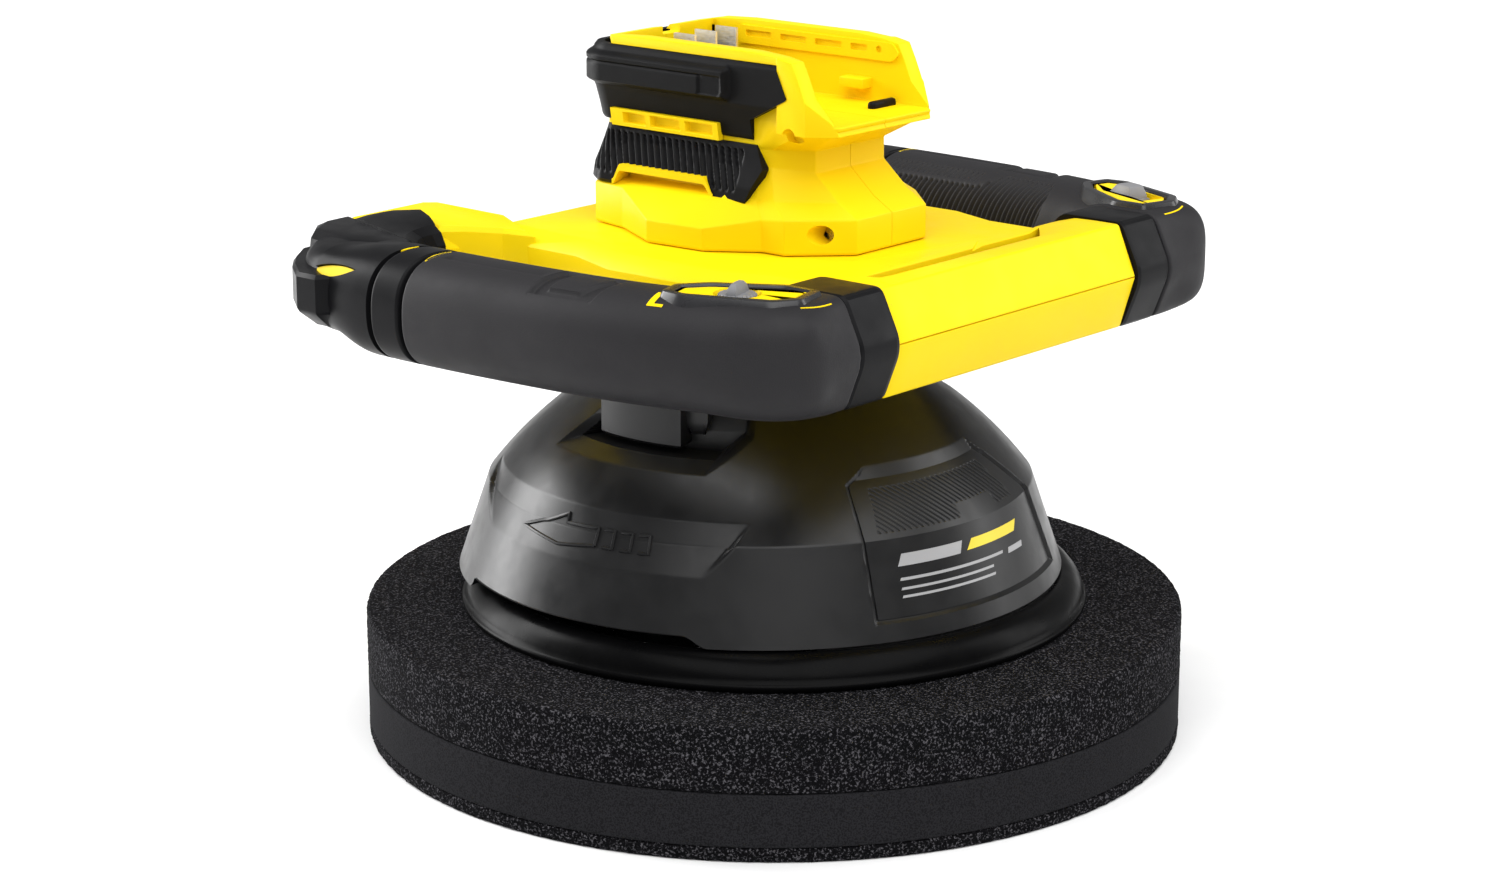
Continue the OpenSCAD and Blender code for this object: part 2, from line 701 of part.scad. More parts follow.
// Outlines of the tower's right-hand half, rear to front
tower_foot = [[-42, -29], [-28, -32], [-8.5, -42.7], [12.5, -41.4], [27, -31.6], [35.5, -31.4],
    [51, -16.4]];
tower_neck = [[-40, -24.6], [-27, -24.7], [-8, -24.7], [12, -24.7], [20, -24.6], [24, -23],
    [35, -16.2]];
tower_head = [[-40, -24.6], [-27, -24.7], [-8, -24.7], [12, -24.7], [26, -24.6], [40.5, -27.5],
    [48.3, -21.6]];
foot_z = [deck_z + 0.2, 167.5];
neck_z0 = 171.5;
neck_z1 = 188;
// An outline drawn in by a wall thickness: rear edge, sides and front edge
function shrunk(half, d) = [for (p = half)
    [p[0] < -39 ? p[0] + d : p[0] > 30 ? p[0] - d : p[0], p[1] + d]];
function whole(half, z) = at_height(both_sides(half), z);

module tower_outer() {
    loft([whole(tower_foot, foot_z[0]), whole(tower_foot, foot_z[1]), whole(tower_neck, neck_z0),
        whole(tower_neck, neck_z1), whole(tower_head, bay_floor - 1), whole(tower_head, bay_floor)]);
}
module tower_inner() {
    low = shrunk(tower_foot, wall);
    high = shrunk(tower_neck, wall);
    loft([whole(low, foot_z[0] - 1), whole(low, foot_z[1] - 1), whole(high, neck_z0),
        whole(high, bay_floor - wall)]);
}
// Walls of the battery bay: a side wall with an inward rail, and a rear wall
rail_z = [207, 212.5];
rail_in = 21.5;
bay_rear = -42;
rail_slots = [-12.5, 1.7, 15.3];
module bay_walls() {
    span([bay_rear, -24.6, bay_floor - 2], [30, -22.2, bay_top]);
    difference() {
        span([28, -bay_half, bay_floor - 2], [41, -24.2, bay_top]);
        translate([38.4, -30, bay_top]) rotate([0, 80, 0]) cube([30, 10, 10]);
    }
    difference() {
        span([-30, -24, rail_z[0]], [36, -rail_in, rail_z[1]]);
        for (x = rail_slots) span([x, -22.6, 209.3], [x + 9, -20, 211.6]);
    }
}
// Two screws join the tower's halves: their places in X and Z
tower_screw_at = [[43.2, 163], [30, 188.2]];
tower_screw_r = 2.85;
module across_tower(k, r, y0, y1) {
    translate([tower_screw_at[k][0], y1, tower_screw_at[k][1]]) rotate([90, 0, 0])
        cylinder(r = r, h = y1 - y0);
}
split_gap = 0.15;
module tower_half(side) {
    color(yellow) on_side(side) difference() {
        union() {
            difference() {
                tower_outer();
                tower_inner();
            }
            bay_walls();
            span([bay_rear, -24, bay_floor - 2.1], [bay_rear + 3.5, 5, bay_top - 0.1]);
            across_tower(0, 4.6, -22, 5);
            across_tower(1, 4, -20, 5);
        }
        span([-60, -split_gap, 150], [60, 60, 230]);
        for (k = [0, 1]) across_tower(k, tower_screw_r, -60, 1);
    }
}
// Black rubber band round the battery bay's sides and rear
bumper_plan = [[27.7, -24.9], [27.7, -27.2], [22, -30], [-39, -30.5], [-45.5, -29], [-49, -25],
    [-49, -split_gap], [bay_rear - 0.3, -split_gap], [bay_rear - 0.3, -24.9]];
skirt_plan = [[18.6, -24.9], [18.6, -28.2], [-36, -28.2], [-43.6, -25], [-43.6, -split_gap],
    [bay_rear - 0.3, -split_gap], [bay_rear - 0.3, -24.9]];
bumper_z = [198.5, 211.8];
module bumper(side) {
    color(black) on_side(side) difference() {
        union() {
            translate([0, 0, bumper_z[0]]) linear_extrude(height = bumper_z[1] - bumper_z[0])
                polygon(bumper_plan);
            translate([0, 0, 186.2]) linear_extrude(height = bumper_z[0] - 186.2)
                polygon(skirt_plan);
        }
        span([-38.3, -40, 187], [7, -26.6, 193.2]);
    }
}
module vent_insert(side) {
    color(yellow) on_side(side) difference() {
        span([-38, -28.6, 187.3], [6.7, -26.7, 192.9]);
        for (x = [-33, -20.5, -8]) span([x, -30, 188.8], [x + 10, -26, 191.4]);
    }
}
// Ribbed grille over the cooling air intake
grille_z = [172, 186];
module intake_grille(side) {
    ribs = 14;
    color(black) on_side(side) {
        span([-37, -27.4, grille_z[0]], [23, -25, grille_z[1]]);
        for (k = [0 : ribs - 1]) translate([-34 + 4 * k, -28.6, grille_z[0] + 1])
            rotate([0, -14, 0]) cube([1.6, 1.4, grille_z[1] - grille_z[0] - 2]);
    }
}
module terminal_block() {
    color(black) {
        span([-36, -19, bay_floor + 0.1], [-20, 19, bay_floor + 6]);
        span([-36, -19, bay_floor + 6], [-31, 19, bay_floor + 14]);
    }
}
blade_pitch = 9.7;
module terminal_blades() {
    color(steel) for (k = [-1.5 : 1 : 1.5])
        span([-30.5, k * blade_pitch - 0.4, bay_floor + 6.1], [-22, k * blade_pitch + 0.4, bay_top - 1.7]);
}
module tower_screws() {
    color(steel) for (k = [0, 1]) {
        across_tower(k, tower_screw_r - slip, -18, -14);
        across_tower(k, 1.9, -14, 18);
    }
}
// Speed and battery electronics inside the tower
module control_board() {
    color("darkgreen") span([-34, -20, 174], [26, 20, 175.6]);
    color(black) {
        span([-26, -14, 175.6], [-12, -4, 184]);
        span([-4, 2, 175.6], [8, 14, 182]);
        translate([18, -6, 175.6]) cylinder(r = 5, h = 12, $fn = 32);
    }
}

// ---------------------------------------------------------------- nodes

upper_frame_shell();
lower_frame_shell();
handle_core(-1);  // right_handle_core
handle_core(1);  // left_handle_core
grip(-1);  // right_grip
grip(1);  // left_grip
rear_cap(-1);  // right_rear_cap
rear_cap(1);  // left_rear_cap
corner_guard(-1);  // right_corner_guard
corner_guard(1);  // left_corner_guard
rear_collars();
guard_inserts();
front_sleeve(-1);  // right_front_sleeve
front_sleeve(1);  // left_front_sleeve
bezel(-1);  // right_bezel
bezel(1);  // left_bezel
control_tray(-1);  // right_control_tray
control_tray(1);  // left_control_tray
speed_dial();
dial_potentiometer();
power_slider();
power_switch_body();
tower_half(-1);  // tower_right_shell
tower_half(1);  // tower_left_shell
bumper(-1);  // right_bumper
bumper(1);  // left_bumper
vent_insert(-1);  // right_vent_insert
vent_insert(1);  // left_vent_insert
intake_grille(-1);  // right_intake_grille
intake_grille(1);  // left_intake_grille
terminal_block();
terminal_blades();
control_board();
motor_shroud();
label_plate();
motor_bracket();
motor_can();
motor_end_bell();
motor_magnets();
brush_holders();
carbon_brushes();
motor_upper_bearing();
motor_lower_bearing();
rotor_shaft();
armature_core();
armature_windings();
commutator();
cooling_fan();
eccentric_hub();
counterweight();
pin_screw();
backing_plate();
pad_bearing();
foam_coarse_layer();
foam_dense_layer();
foam_working_face();
tower_screws();
frame_screws();
motor_screws();
shroud_screws();
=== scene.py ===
"""Looks of a two-handed cordless polisher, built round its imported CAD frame.

Lengths are millimetres and angles are degrees, and MM turns lengths into Blender's metres.
+X is the end that the battery slides in from, -Y is the right-hand side and +Z is up.
"""
import json
import math

import bmesh
import bpy
import numpy as np
from mathutils import Matrix, Vector


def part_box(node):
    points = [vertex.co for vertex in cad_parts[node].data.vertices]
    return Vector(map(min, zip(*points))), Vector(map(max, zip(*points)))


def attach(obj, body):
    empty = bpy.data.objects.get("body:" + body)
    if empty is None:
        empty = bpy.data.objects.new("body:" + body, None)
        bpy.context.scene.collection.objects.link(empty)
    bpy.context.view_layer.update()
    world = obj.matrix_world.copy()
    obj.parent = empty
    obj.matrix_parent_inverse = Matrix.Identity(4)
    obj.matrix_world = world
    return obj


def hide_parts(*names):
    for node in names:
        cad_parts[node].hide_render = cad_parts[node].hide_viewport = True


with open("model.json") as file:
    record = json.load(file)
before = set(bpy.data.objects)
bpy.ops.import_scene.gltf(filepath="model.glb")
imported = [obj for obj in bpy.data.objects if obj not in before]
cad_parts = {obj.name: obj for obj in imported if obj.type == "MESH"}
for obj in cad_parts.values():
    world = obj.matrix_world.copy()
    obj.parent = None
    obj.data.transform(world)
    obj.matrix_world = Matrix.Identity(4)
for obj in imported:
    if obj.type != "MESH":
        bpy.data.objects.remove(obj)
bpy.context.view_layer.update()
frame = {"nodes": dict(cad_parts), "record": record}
MM = 0.001
SCENE = bpy.context.scene


def low(node):
    """Lowest corner of a CAD node, in millimetres."""
    return np.array(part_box(node)[0]) / MM


def high(node):
    """Highest corner of a CAD node, in millimetres."""
    return np.array(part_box(node)[1]) / MM


# Heights and radii that the CAD frame settles
PAD_AXIS = (low("foam_dense_layer")[:2] + high("foam_dense_layer")[:2]) / 2
PAD_R = (high("foam_dense_layer")[0] - low("foam_dense_layer")[0]) / 2
PAD_TOP = high("foam_coarse_layer")[2]
LIP_R = (high("backing_plate")[0] - low("backing_plate")[0]) / 2
RIM_R = (high("motor_shroud")[0] - low("motor_shroud")[0]) / 2
RIM_Z = low("motor_shroud")[2]
FRAME_LOW = low("lower_frame_shell")[2]
SEAM_Z = low("upper_frame_shell")[2]
FRAME_TOP = high("upper_frame_shell")[2]
BAR_X = high("upper_frame_shell")[0]
TOWER_LOW = low("tower_right_shell")[2]
BAY_TOP = high("tower_right_shell")[2]

# ------------------------------------------------------------------ mesh tools


def linked(name, data):
    """A new object in the scene, round a mesh, light or camera."""
    obj = bpy.data.objects.new(name, data)
    SCENE.collection.objects.link(obj)
    return obj


def make(name, points, faces):
    """A new mesh object from points in millimetres, with its faces turned outwards."""
    mesh = bpy.data.meshes.new(name)
    mesh.from_pydata((np.asarray(points, float) * MM).tolist(), [], faces)
    bm = bmesh.new()
    bm.from_mesh(mesh)
    bmesh.ops.recalc_face_normals(bm, faces=bm.faces)
    bm.to_mesh(mesh)
    bm.free()
    return linked(name, mesh)


def closed_sheet(n, m):
    """Faces of a thin solid made of an upper and a lower grid of n by m points."""
    count = n * m
    rim = ([(0, c) for c in range(m)] + [(r, m - 1) for r in range(1, n)]
           + [(n - 1, c) for c in range(m - 2, -1, -1)] + [(r, 0) for r in range(n - 2, 0, -1)])
    ids = [r * m + c for r, c in rim]
    sides = [(a, b, b + count, a + count) for a, b in zip(ids, ids[1:] + ids[:1])]
    return skin(n, m, 0, False) + skin(n, m, count, False) + sides


def skin(rows, cols, start=0, wrap=True):
    """Quads over a grid of points laid out row by row."""
    span = cols if wrap else cols - 1
    return [(start + r * cols + c, start + r * cols + (c + 1) % cols,
             start + (r + 1) * cols + (c + 1) % cols, start + (r + 1) * cols + c)
            for r in range(rows - 1) for c in range(span)]


def closed_skin(rows, cols):
    """Quads over a grid of points that closes on itself both ways."""
    return [tuple(i % (rows * cols) for i in quad) for quad in skin(rows + 1, cols)]


def loft(name, rings):
    """Closed solid through rings that all have the same number of points."""
    n = len(rings[0])
    last = (len(rings) - 1) * n
    ends = [tuple(reversed(range(n))), tuple(range(last, last + n))]
    return make(name, np.vstack([np.asarray(r, float) for r in rings]), skin(len(rings), n) + ends)


def revolve(name, profile, centre=(0, 0), steps=256):
    """Closed ring from a closed profile of (radius, height) points."""
    angles = full_turn(steps)
    r, z = np.asarray(profile, float).T
    points = np.stack([centre[0] + np.outer(np.cos(angles), r),
                       centre[1] + np.outer(np.sin(angles), r),
                       np.tile(z, (steps, 1))], -1).reshape(-1, 3)
    return make(name, points, closed_skin(steps, len(r)))


def settle(obj):
    """Applies an object's modifiers to its mesh."""
    graph = bpy.context.evaluated_depsgraph_get()
    mesh = bpy.data.meshes.new_from_object(obj.evaluated_get(graph))
    obj.modifiers.clear()
    obj.data = mesh
    return obj


def eased(obj, width, segments=3, angle=24):
    """Rounds an object's sharp edges."""
    bevel = obj.modifiers.new("ease", "BEVEL")
    bevel.width = width * MM
    bevel.segments = segments
    bevel.limit_method = "ANGLE"
    bevel.angle_limit = math.radians(angle)
    return settle(obj)


def combine(obj, others, how):
    """Applies one kind of boolean between obj and each of the others, which are used up."""
    for other in others:
        step = obj.modifiers.new("combine", "BOOLEAN")
        step.operation = how
        step.object = other
        step.solver = "MANIFOLD"
        settle(obj)
        bpy.data.objects.remove(other)
    return obj


def minus(obj, *cutters):
    """obj with the cutters taken away."""
    return combine(obj, cutters, "DIFFERENCE")


def plus(obj, *others):
    """obj merged with the others."""
    return combine(obj, others, "UNION")


def joined(name, obj, *others):
    """obj under a name, with other objects' meshes added to its mesh."""
    bm = bmesh.new()
    for part in (obj, *others):
        bm.from_mesh(part.data)
    bm.to_mesh(obj.data)
    bm.free()
    for part in others:
        bpy.data.objects.remove(part)
    obj.name = name
    return obj


def twin(obj, name):
    """A copy of obj with its own mesh."""
    return linked(name, obj.data.copy())


def mirrored(obj):
    """The left-hand twin of a right-hand piece, on the other side of the mirror plane."""
    copy = twin(obj, obj.name.replace("right", "left"))
    copy.data.transform(Matrix.Scale(-1, 4, (0, 1, 0)))
    copy.data.flip_normals()
    return copy


def turned(outline):
    """The outline as an array that runs anticlockwise."""
    p = np.asarray(outline, float)
    q = np.roll(p, -1, 0)
    return p if np.sum(p[:, 0] * q[:, 1] - q[:, 0] * p[:, 1]) > 0 else p[::-1]


def inset(outline, distance):
    """The outline with every edge moved inwards by distance, mitred at the corners."""
    p = turned(outline)
    edge = np.roll(p, -1, 0) - p
    normal = np.stack([-edge[:, 1], edge[:, 0]], 1) / np.linalg.norm(edge, axis=1)[:, None]
    before = np.roll(normal, 1, 0)
    mitre = (before + normal) / (1 + np.sum(before * normal, 1))[:, None]
    return p + mitre * distance


def softened(outline, radius, steps=5):
    """The outline with each corner turned into a curve of about that radius."""
    p = turned(outline)
    found = []
    for before, here, after in zip(np.roll(p, 1, 0), p, np.roll(p, -1, 0)):
        a, b = before - here, after - here
        reach = [min(radius, 0.45 * np.linalg.norm(v)) * v / np.linalg.norm(v) for v in (a, b)]
        for k in range(steps + 1):
            u = k / steps
            found.append(here + reach[0] * (1 - u) ** 2 + reach[1] * u ** 2)
    return np.array(found)


def both_sides(half):
    """A right-hand half outline, rear to front, closed with its mirror image."""
    return [tuple(p) for p in half] + [(p[0], -p[1], *p[2:]) for p in reversed(half)]


def level(outline, z):
    """An outline in plan set at one height."""
    return [(p[0], p[1], z) for p in outline]


def column(name, outline, z0, z1):
    """Upright solid with one plan."""
    return loft(name, [level(outline, z) for z in (z0, z1)])


def tiers(name, outline, steps):
    """Upright solid whose plan is drawn in by a distance at each height; steps are (distance, height)."""
    return loft(name, [level(inset(outline, d), z) for d, z in steps])


def prism(name, outline, z0, z1, edge):
    """Upright solid with one plan and bevelled top and bottom edges."""
    return tiers(name, outline, ((edge, z0), (0, z0 + edge), (0, z1 - edge), (edge, z1)))


def block(name, corner, opposite, edge=0.0):
    """Box between two corners, with eased edges."""
    (x0, y0, z0), (x1, y1, z1) = corner, opposite
    obj = column(name, [(x0, y0), (x1, y0), (x1, y1), (x0, y1)], z0, z1)
    return eased(obj, edge) if edge else obj


def run_along_y(name, outline, y0, y1):
    """An outline in X and Z, run from y0 to y1."""
    return loft(name, [[(x, y, z) for x, z in outline] for y in (y0, y1)])


def ramp(value, start, end):
    """0 before start, 1 after end, and smooth between them."""
    u = np.clip((np.asarray(value, float) - start) / (end - start), 0, 1)
    return u * u * (3 - 2 * u)


def plateau(value, start, full, fading, end):
    """0 before start and after end, 1 from full to fading, and smooth between them."""
    return ramp(value, start, full) * (1 - ramp(value, fading, end))


def full_turn(steps):
    """Evenly spaced angles round a full turn, in radians."""
    return np.radians(np.arange(steps) * 360 / steps)


def grid(rows, columns):
    """Two grids that give each point's row value and column value."""
    return np.meshgrid(rows, columns, indexing="ij")


def wave(phase):
    """Even wave between 0 and 1 with its peaks at whole numbers."""
    return 0.5 + 0.5 * np.cos(2 * math.pi * phase)


def always(value):
    """A function of place that gives one value everywhere."""
    return lambda place, *_: value + 0 * place


def detail(full, quick):
    return full


# ------------------------------------------------------------------ materials


class Graph:
    """Small helper round a material's node tree."""

    def __init__(self, name):
        self.material = bpy.data.materials.new(name)
        self.material.use_nodes = True
        self.nodes = self.material.node_tree.nodes
        self.links = self.material.node_tree.links
        self.shader = self.nodes["Principled BSDF"]
        self.place = self.add("ShaderNodeTexCoord").outputs["Object"]

    def add(self, kind, **values):
        """A new node with some of its properties set."""
        node = self.nodes.new(kind)
        for key, value in values.items():
            setattr(node, key, value)
        return node

    def noise(self, size, detail=3.0, roughness=0.55):
        """Noise whose features are about size millimetres across."""
        node = self.add("ShaderNodeTexNoise")
        node.inputs["Scale"].default_value = 1 / (size * MM)
        node.inputs["Detail"].default_value = detail
        node.inputs["Roughness"].default_value = roughness
        self.links.new(self.place, node.inputs["Vector"])
        return node.outputs["Fac"]

    def cells(self, size):
        """Distance to the middle of cells about size millimetres across."""
        node = self.add("ShaderNodeTexVoronoi")
        node.inputs["Scale"].default_value = 1 / (size * MM)
        self.links.new(self.place, node.inputs["Vector"])
        return node.outputs["Distance"]

    def spread(self, source, from_low, from_high, to_low, to_high):
        """A value moved from one range to another."""
        node = self.add("ShaderNodeMapRange")
        for key, value in zip(("From Min", "From Max", "To Min", "To Max"),
                              (from_low, from_high, to_low, to_high)):
            node.inputs[key].default_value = value
        self.links.new(source, node.inputs["Value"])
        return node.outputs["Result"]

    def shades(self, source, stops):
        """Colour ramp; stops are (position, colour)."""
        node = self.add("ShaderNodeValToRGB")
        elements = node.color_ramp.elements
        while len(elements) < len(stops):
            elements.new(0.5)
        for element, (position, colour) in zip(elements, stops):
            element.position = position
            element.color = (*colour, 1)
        self.links.new(source, node.inputs["Fac"])
        return node.outputs["Color"]

    def bumps(self, layers):
        """Bump layers, each (height source, strength, depth in millimetres)."""
        before = None
        for source, strength, depth in layers:
            node = self.add("ShaderNodeBump")
            node.inputs["Strength"].default_value = strength
            node.inputs["Distance"].default_value = depth * MM
            self.links.new(source, node.inputs["Height"])
            if before:
                self.links.new(before, node.inputs["Normal"])
            before = node.outputs["Normal"]
        self.links.new(before, self.shader.inputs["Normal"])

    def wire(self, source, socket):
        """Links a value to one of the shader's inputs."""
        self.links.new(source, self.shader.inputs[socket])


def scaled(colour, factor):
    """A colour made lighter or darker."""
    return tuple(min(1.0, c * factor) for c in colour)


def plastic(name, colour, rough, grain=0.35, depth=0.04, mottle=0.05, specular=0.5):
    """Moulded plastic or rubber: fine spark-eroded grain, slow mottling and handled patches."""
    g = Graph(name)
    broad = g.noise(26, 2.0)
    patch = g.noise(9, 3.0)
    fine = g.noise(grain, 2.0, 0.6)
    g.wire(g.shades(broad, [(0.3, scaled(colour, 1 - mottle)), (0.7, scaled(colour, 1 + mottle))]),
           "Base Color")
    g.wire(g.spread(patch, 0.3, 0.7, rough - 0.05, rough + 0.06), "Roughness")
    g.bumps([(fine, 0.5, depth), (g.noise(grain * 4, 2.0), 0.25, depth)])
    g.shader.inputs["Specular IOR Level"].default_value = specular
    return g.material


def metal(name, colour, rough, streak=0.6):
    """Machined or plated metal with fine tool marks and faint stains."""
    g = Graph(name)
    marks = g.noise(streak, 4.0)
    stain = g.noise(7, 3.0)
    g.wire(g.shades(stain, [(0.35, scaled(colour, 0.86)), (0.65, colour)]), "Base Color")
    g.wire(g.spread(marks, 0.3, 0.7, rough * 0.75, rough * 1.3), "Roughness")
    g.bumps([(marks, 0.25, 0.03)])
    g.shader.inputs["Metallic"].default_value = 1.0
    return g.material


def foam(name, dark, light, cell, depth, rough=0.95):
    """Foam with cells about cell millimetres across: a dark-to-pale speckle of colour that paints shade
    in the pores and highlights on the struts.
    """
    g = Graph(name)
    pores = g.cells(cell)
    struts = g.noise(cell * 0.75, 2.0, 0.7)
    # painted light and shade: the ramp runs from painted shade in the pores to painted highlights on the
    # struts
    g.wire(g.shades(struts, [(0.44, dark), (0.55, scaled(dark, 2.4)), (0.66, light)]), "Base Color")
    g.wire(g.spread(struts, 0.3, 0.7, rough - 0.1, min(1.0, rough + 0.05)), "Roughness")
    g.bumps([(struts, 0.7, depth), (pores, 0.5, depth * 0.7)])
    g.shader.inputs["Specular IOR Level"].default_value = 0.05
    return g.material


LOOKS = {  # the look of each material slot
    "yellow_plastic": plastic("yellow_moulding", (0.92, 0.66, 0.004), 0.4, grain=0.5, depth=0.02,
                              mottle=0.02, specular=0.08),
    "black_plastic": plastic("black_moulding", (0.007, 0.007, 0.0078), 0.36, grain=0.4, depth=0.025,
                             specular=0.07),
    "gloss_black": plastic("glossy_moulding", (0.002, 0.002, 0.0022), 0.3, grain=0.8, depth=0.008,
                           specular=0.05),
    "grip_rubber": plastic("grip_rubber_grain", (0.017, 0.0163, 0.018), 0.56, grain=0.45, depth=0.09,
                           specular=0.2),
    "bumper_rubber": plastic("bumper_rubber_skin", (0.006, 0.006, 0.0066), 0.42, grain=0.6, depth=0.03,
                             specular=0.07),
    "knob_grey": plastic("knob_plastic", (0.2, 0.2, 0.21), 0.45, grain=0.3, depth=0.03),
    # the foams' pale colours are painted highlights on their cells, and their darkest are painted shade
    # in the pores
    "coarse_foam": foam("open_cell_foam", (0.0025, 0.0025, 0.003), (0.085, 0.082, 0.09), 1.0, 0.35),
    "dense_foam": foam("closed_cell_foam", (0.008, 0.008, 0.009), (0.014, 0.0135, 0.015), 0.7, 0.1, 0.85),
    "circuit_board": plastic("solder_mask", (0.02, 0.16, 0.06), 0.3),
    "dark_ceramic": plastic("carbon_and_ferrite", (0.03, 0.03, 0.032), 0.7, grain=0.3),
    "steel": metal("machined_steel", (0.56, 0.56, 0.58), 0.28),
    "blade_metal": metal("plated_blades", (0.86, 0.85, 0.84), 0.5),
    "copper": metal("enamelled_copper", (0.72, 0.36, 0.16), 0.3),
    "brass": metal("plain_brass", (0.72, 0.55, 0.25), 0.3),
    "cast_aluminium": metal("cast_alloy", (0.6, 0.6, 0.62), 0.45, streak=1.5),
}
SHROUD = plastic("shroud_moulding", (0.007, 0.007, 0.0075), 0.33, grain=0.5, depth=0.01, specular=0.34)
SATIN = plastic("satin_trim", (0.016, 0.016, 0.018), 0.28, grain=0.6, depth=0.012)
PRINT = plastic("pad_print_yellow", (0.8, 0.62, 0.02), 0.4, depth=0.01)
PRINT_GREY = plastic("pad_print_grey", (0.35, 0.35, 0.36), 0.45, depth=0.01)


def dress_cad_nodes():
    """Gives every carried-over CAD node the look of its material slot."""
    slots = {s["node"]: s["material_slot"] for s in frame["record"]["subparts"]}
    for name, obj in frame["nodes"].items():
        obj.data.materials.clear()
        obj.data.materials.append(LOOKS[slots[name]])


def present(obj, body, slot, nodes=(), sharp=38, look=None):
    """Shades a finished piece, gives it its slot's look or another, and ties it to the frame."""
    obj.data.shade_smooth()
    obj.data.set_sharp_from_angle(angle=math.radians(sharp))
    obj.data.materials.clear()
    obj.data.materials.append(look or LOOKS[slot])
    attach(obj, body)
    if nodes:
        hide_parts(*nodes)


def present_pair(right, slot, node=None, sharp=38, look=None):
    """Presents a right-hand piece and its mirror image; node is a CAD name without its side."""
    for side, obj in (("right_", right), ("left_", mirrored(right))):
        present(obj, "housing", slot, [side + node] if node else (), sharp, look)


# ------------------------------------------------------------------ foam pad and backing plate


PAD_BORE_R = 2.0


def rounded_disc_profile(r, z0, z1, edge, rows):
    """Closed profile of a disc with rounded outer edges, with rows of points on its rim."""
    turns = np.radians(np.linspace(0, 90, 5))
    lower = [(r - edge * (1 - math.sin(t)), z0 + edge * (1 - math.cos(t))) for t in turns]
    upper = [(r - edge * (1 - math.cos(t)), z1 - edge * (1 - math.sin(t))) for t in turns]
    side = [(r, z) for z in np.linspace(z0 + edge, z1 - edge, rows)[1:-1]]
    flat = np.linspace(PAD_BORE_R, r - edge, 56)
    return ([(x, z0) for x in flat[:-1]] + lower + side + upper + [(x, z1) for x in flat[-2::-1]])


def roughen(obj, amount, limit_r, z_range, seed):
    """Moves a foam layer's surface in and out by a fixed noise, inside its own CAD solid."""
    rng = np.random.default_rng(seed)
    count = len(obj.data.vertices)
    co = np.empty(count * 3, np.float32)
    obj.data.vertices.foreach_get("co", co)
    p = co.reshape(-1, 3) / MM
    shift = amount * rng.normal(size=count)
    rel = p[:, :2] - PAD_AXIS
    r = np.maximum(np.linalg.norm(rel, axis=1), 1e-6)
    rim = ramp(r, limit_r - 3, limit_r - 0.5)
    new_r = np.minimum(r + shift * rim - amount * 0.4 * rim, limit_r)
    z = p[:, 2] + shift * (1 - rim) * np.where(p[:, 2] > np.mean(z_range), 1, -1)
    out = np.stack([PAD_AXIS[0] + rel[:, 0] / r * new_r, PAD_AXIS[1] + rel[:, 1] / r * new_r,
                    np.clip(z, *z_range)], 1)
    obj.data.vertices.foreach_set("co", (out * MM).astype(np.float32).ravel())
    obj.data.update()


def foam_layer(name, node, slot, edge, rows, amount, seed):
    """One foam disc of the pad, with a rough surface and rounded outer edges."""
    z0, z1 = low(node)[2], high(node)[2]
    obj = revolve(name, rounded_disc_profile(PAD_R - 0.1, z0, z1, edge, rows), PAD_AXIS, 512)
    roughen(obj, amount, PAD_R, (z0, z1), seed)
    present(obj, "pad", slot, [node], sharp=180)


def build_pad():
    """Working face, dense layer and coarse layer, from the floor up."""
    foam_layer("foam_working_face_form", "foam_working_face", "coarse_foam", 1.2, 8, 0.12, 1)
    foam_layer("foam_dense_form", "foam_dense_layer", "dense_foam", 0.5, 8, 0.02, 2)
    foam_layer("foam_coarse_form", "foam_coarse_layer", "coarse_foam", 1.3, 22, 0.12, 3)


def build_backing_plate():
    """Glossy dish with a rolled lip that the pad's coarse layer is bonded to."""
    bead = 1.5
    lip = LIP_R + 0.1
    z = PAD_TOP
    roll = [(lip + bead * math.sin(t), z + bead + 0.02 - bead * math.cos(t))
            for t in np.radians(np.linspace(0, 150, 12))]
    wall = [(96.3, z + 4.2), (95.4, z + 6.4), (93.6, z + 8.6), (91.6, z + 10.0), (90.2, z + 10.35),
            (88.6, z + 10.2), (86.6, z + 8.8), (84, z + 6.4), (80, z + 4.6)]
    dish = wall + [(60, z + 3.6), (40, z + 3.6), (20, z + 3.8), (15, z + 6), (14.6, z + 14),
                   (11.2, z + 14.4), (11.1, z + 6.2), (9.2, z + 6), (9.2, z + 0.02)]
    obj = revolve("backing_plate_form", roll + dish, PAD_AXIS)
    present(obj, "pad", "gloss_black", ["backing_plate"], sharp=50)


# ------------------------------------------------------------------ shroud

SHOULDER = np.array([84.4, 79.2])
CROWN = np.array([57.6, 104.8])
BULGE = 1.4
SHROUD_TOP = 128.2
SHROUD_NECK = [(50.0, 110.0), (45.5, 114.0), (44.0, 118.0), (44.0, SHROUD_TOP)]
LABEL_EDGES = {  # height: (left angle, right angle) of the label recess
    56.0: (-28.5, 27.4), 80.7: (-29.4, 25.6), 92.2: (-29.6, 19.0), 93.0: (-29.6, 18.2),
    97.0: (-23.0, 15.3)}
LABEL_DEPTH = 1.3
RAISED_RIM = (-119, -60)  # angles between which the rim is raised, on both sides
RAISED_BY = 3.2
NOTCH_FLOOR = 95.6


def dome_rows():
    """Profile rows of the shroud: (radius, height) with the foot row first."""
    wall = [(RIM_R + (SHOULDER[0] - RIM_R) * k, RIM_Z + (SHOULDER[1] - RIM_Z) * k)
            for k in np.linspace(0, 1, 58)]
    chord = CROWN - SHOULDER
    out = np.array([chord[1], -chord[0]]) / np.linalg.norm(chord)
    arc = [tuple(SHOULDER + chord * t + out * BULGE * 4 * t * (1 - t)) for t in np.linspace(0, 1, 84)]
    return np.array(wall + arc[1:] + SHROUD_NECK)


DOME = dome_rows()


def dome_radius(z):
    """Radius of the plain shroud at a height."""
    return np.interp(z, DOME[:, 1], DOME[:, 0])


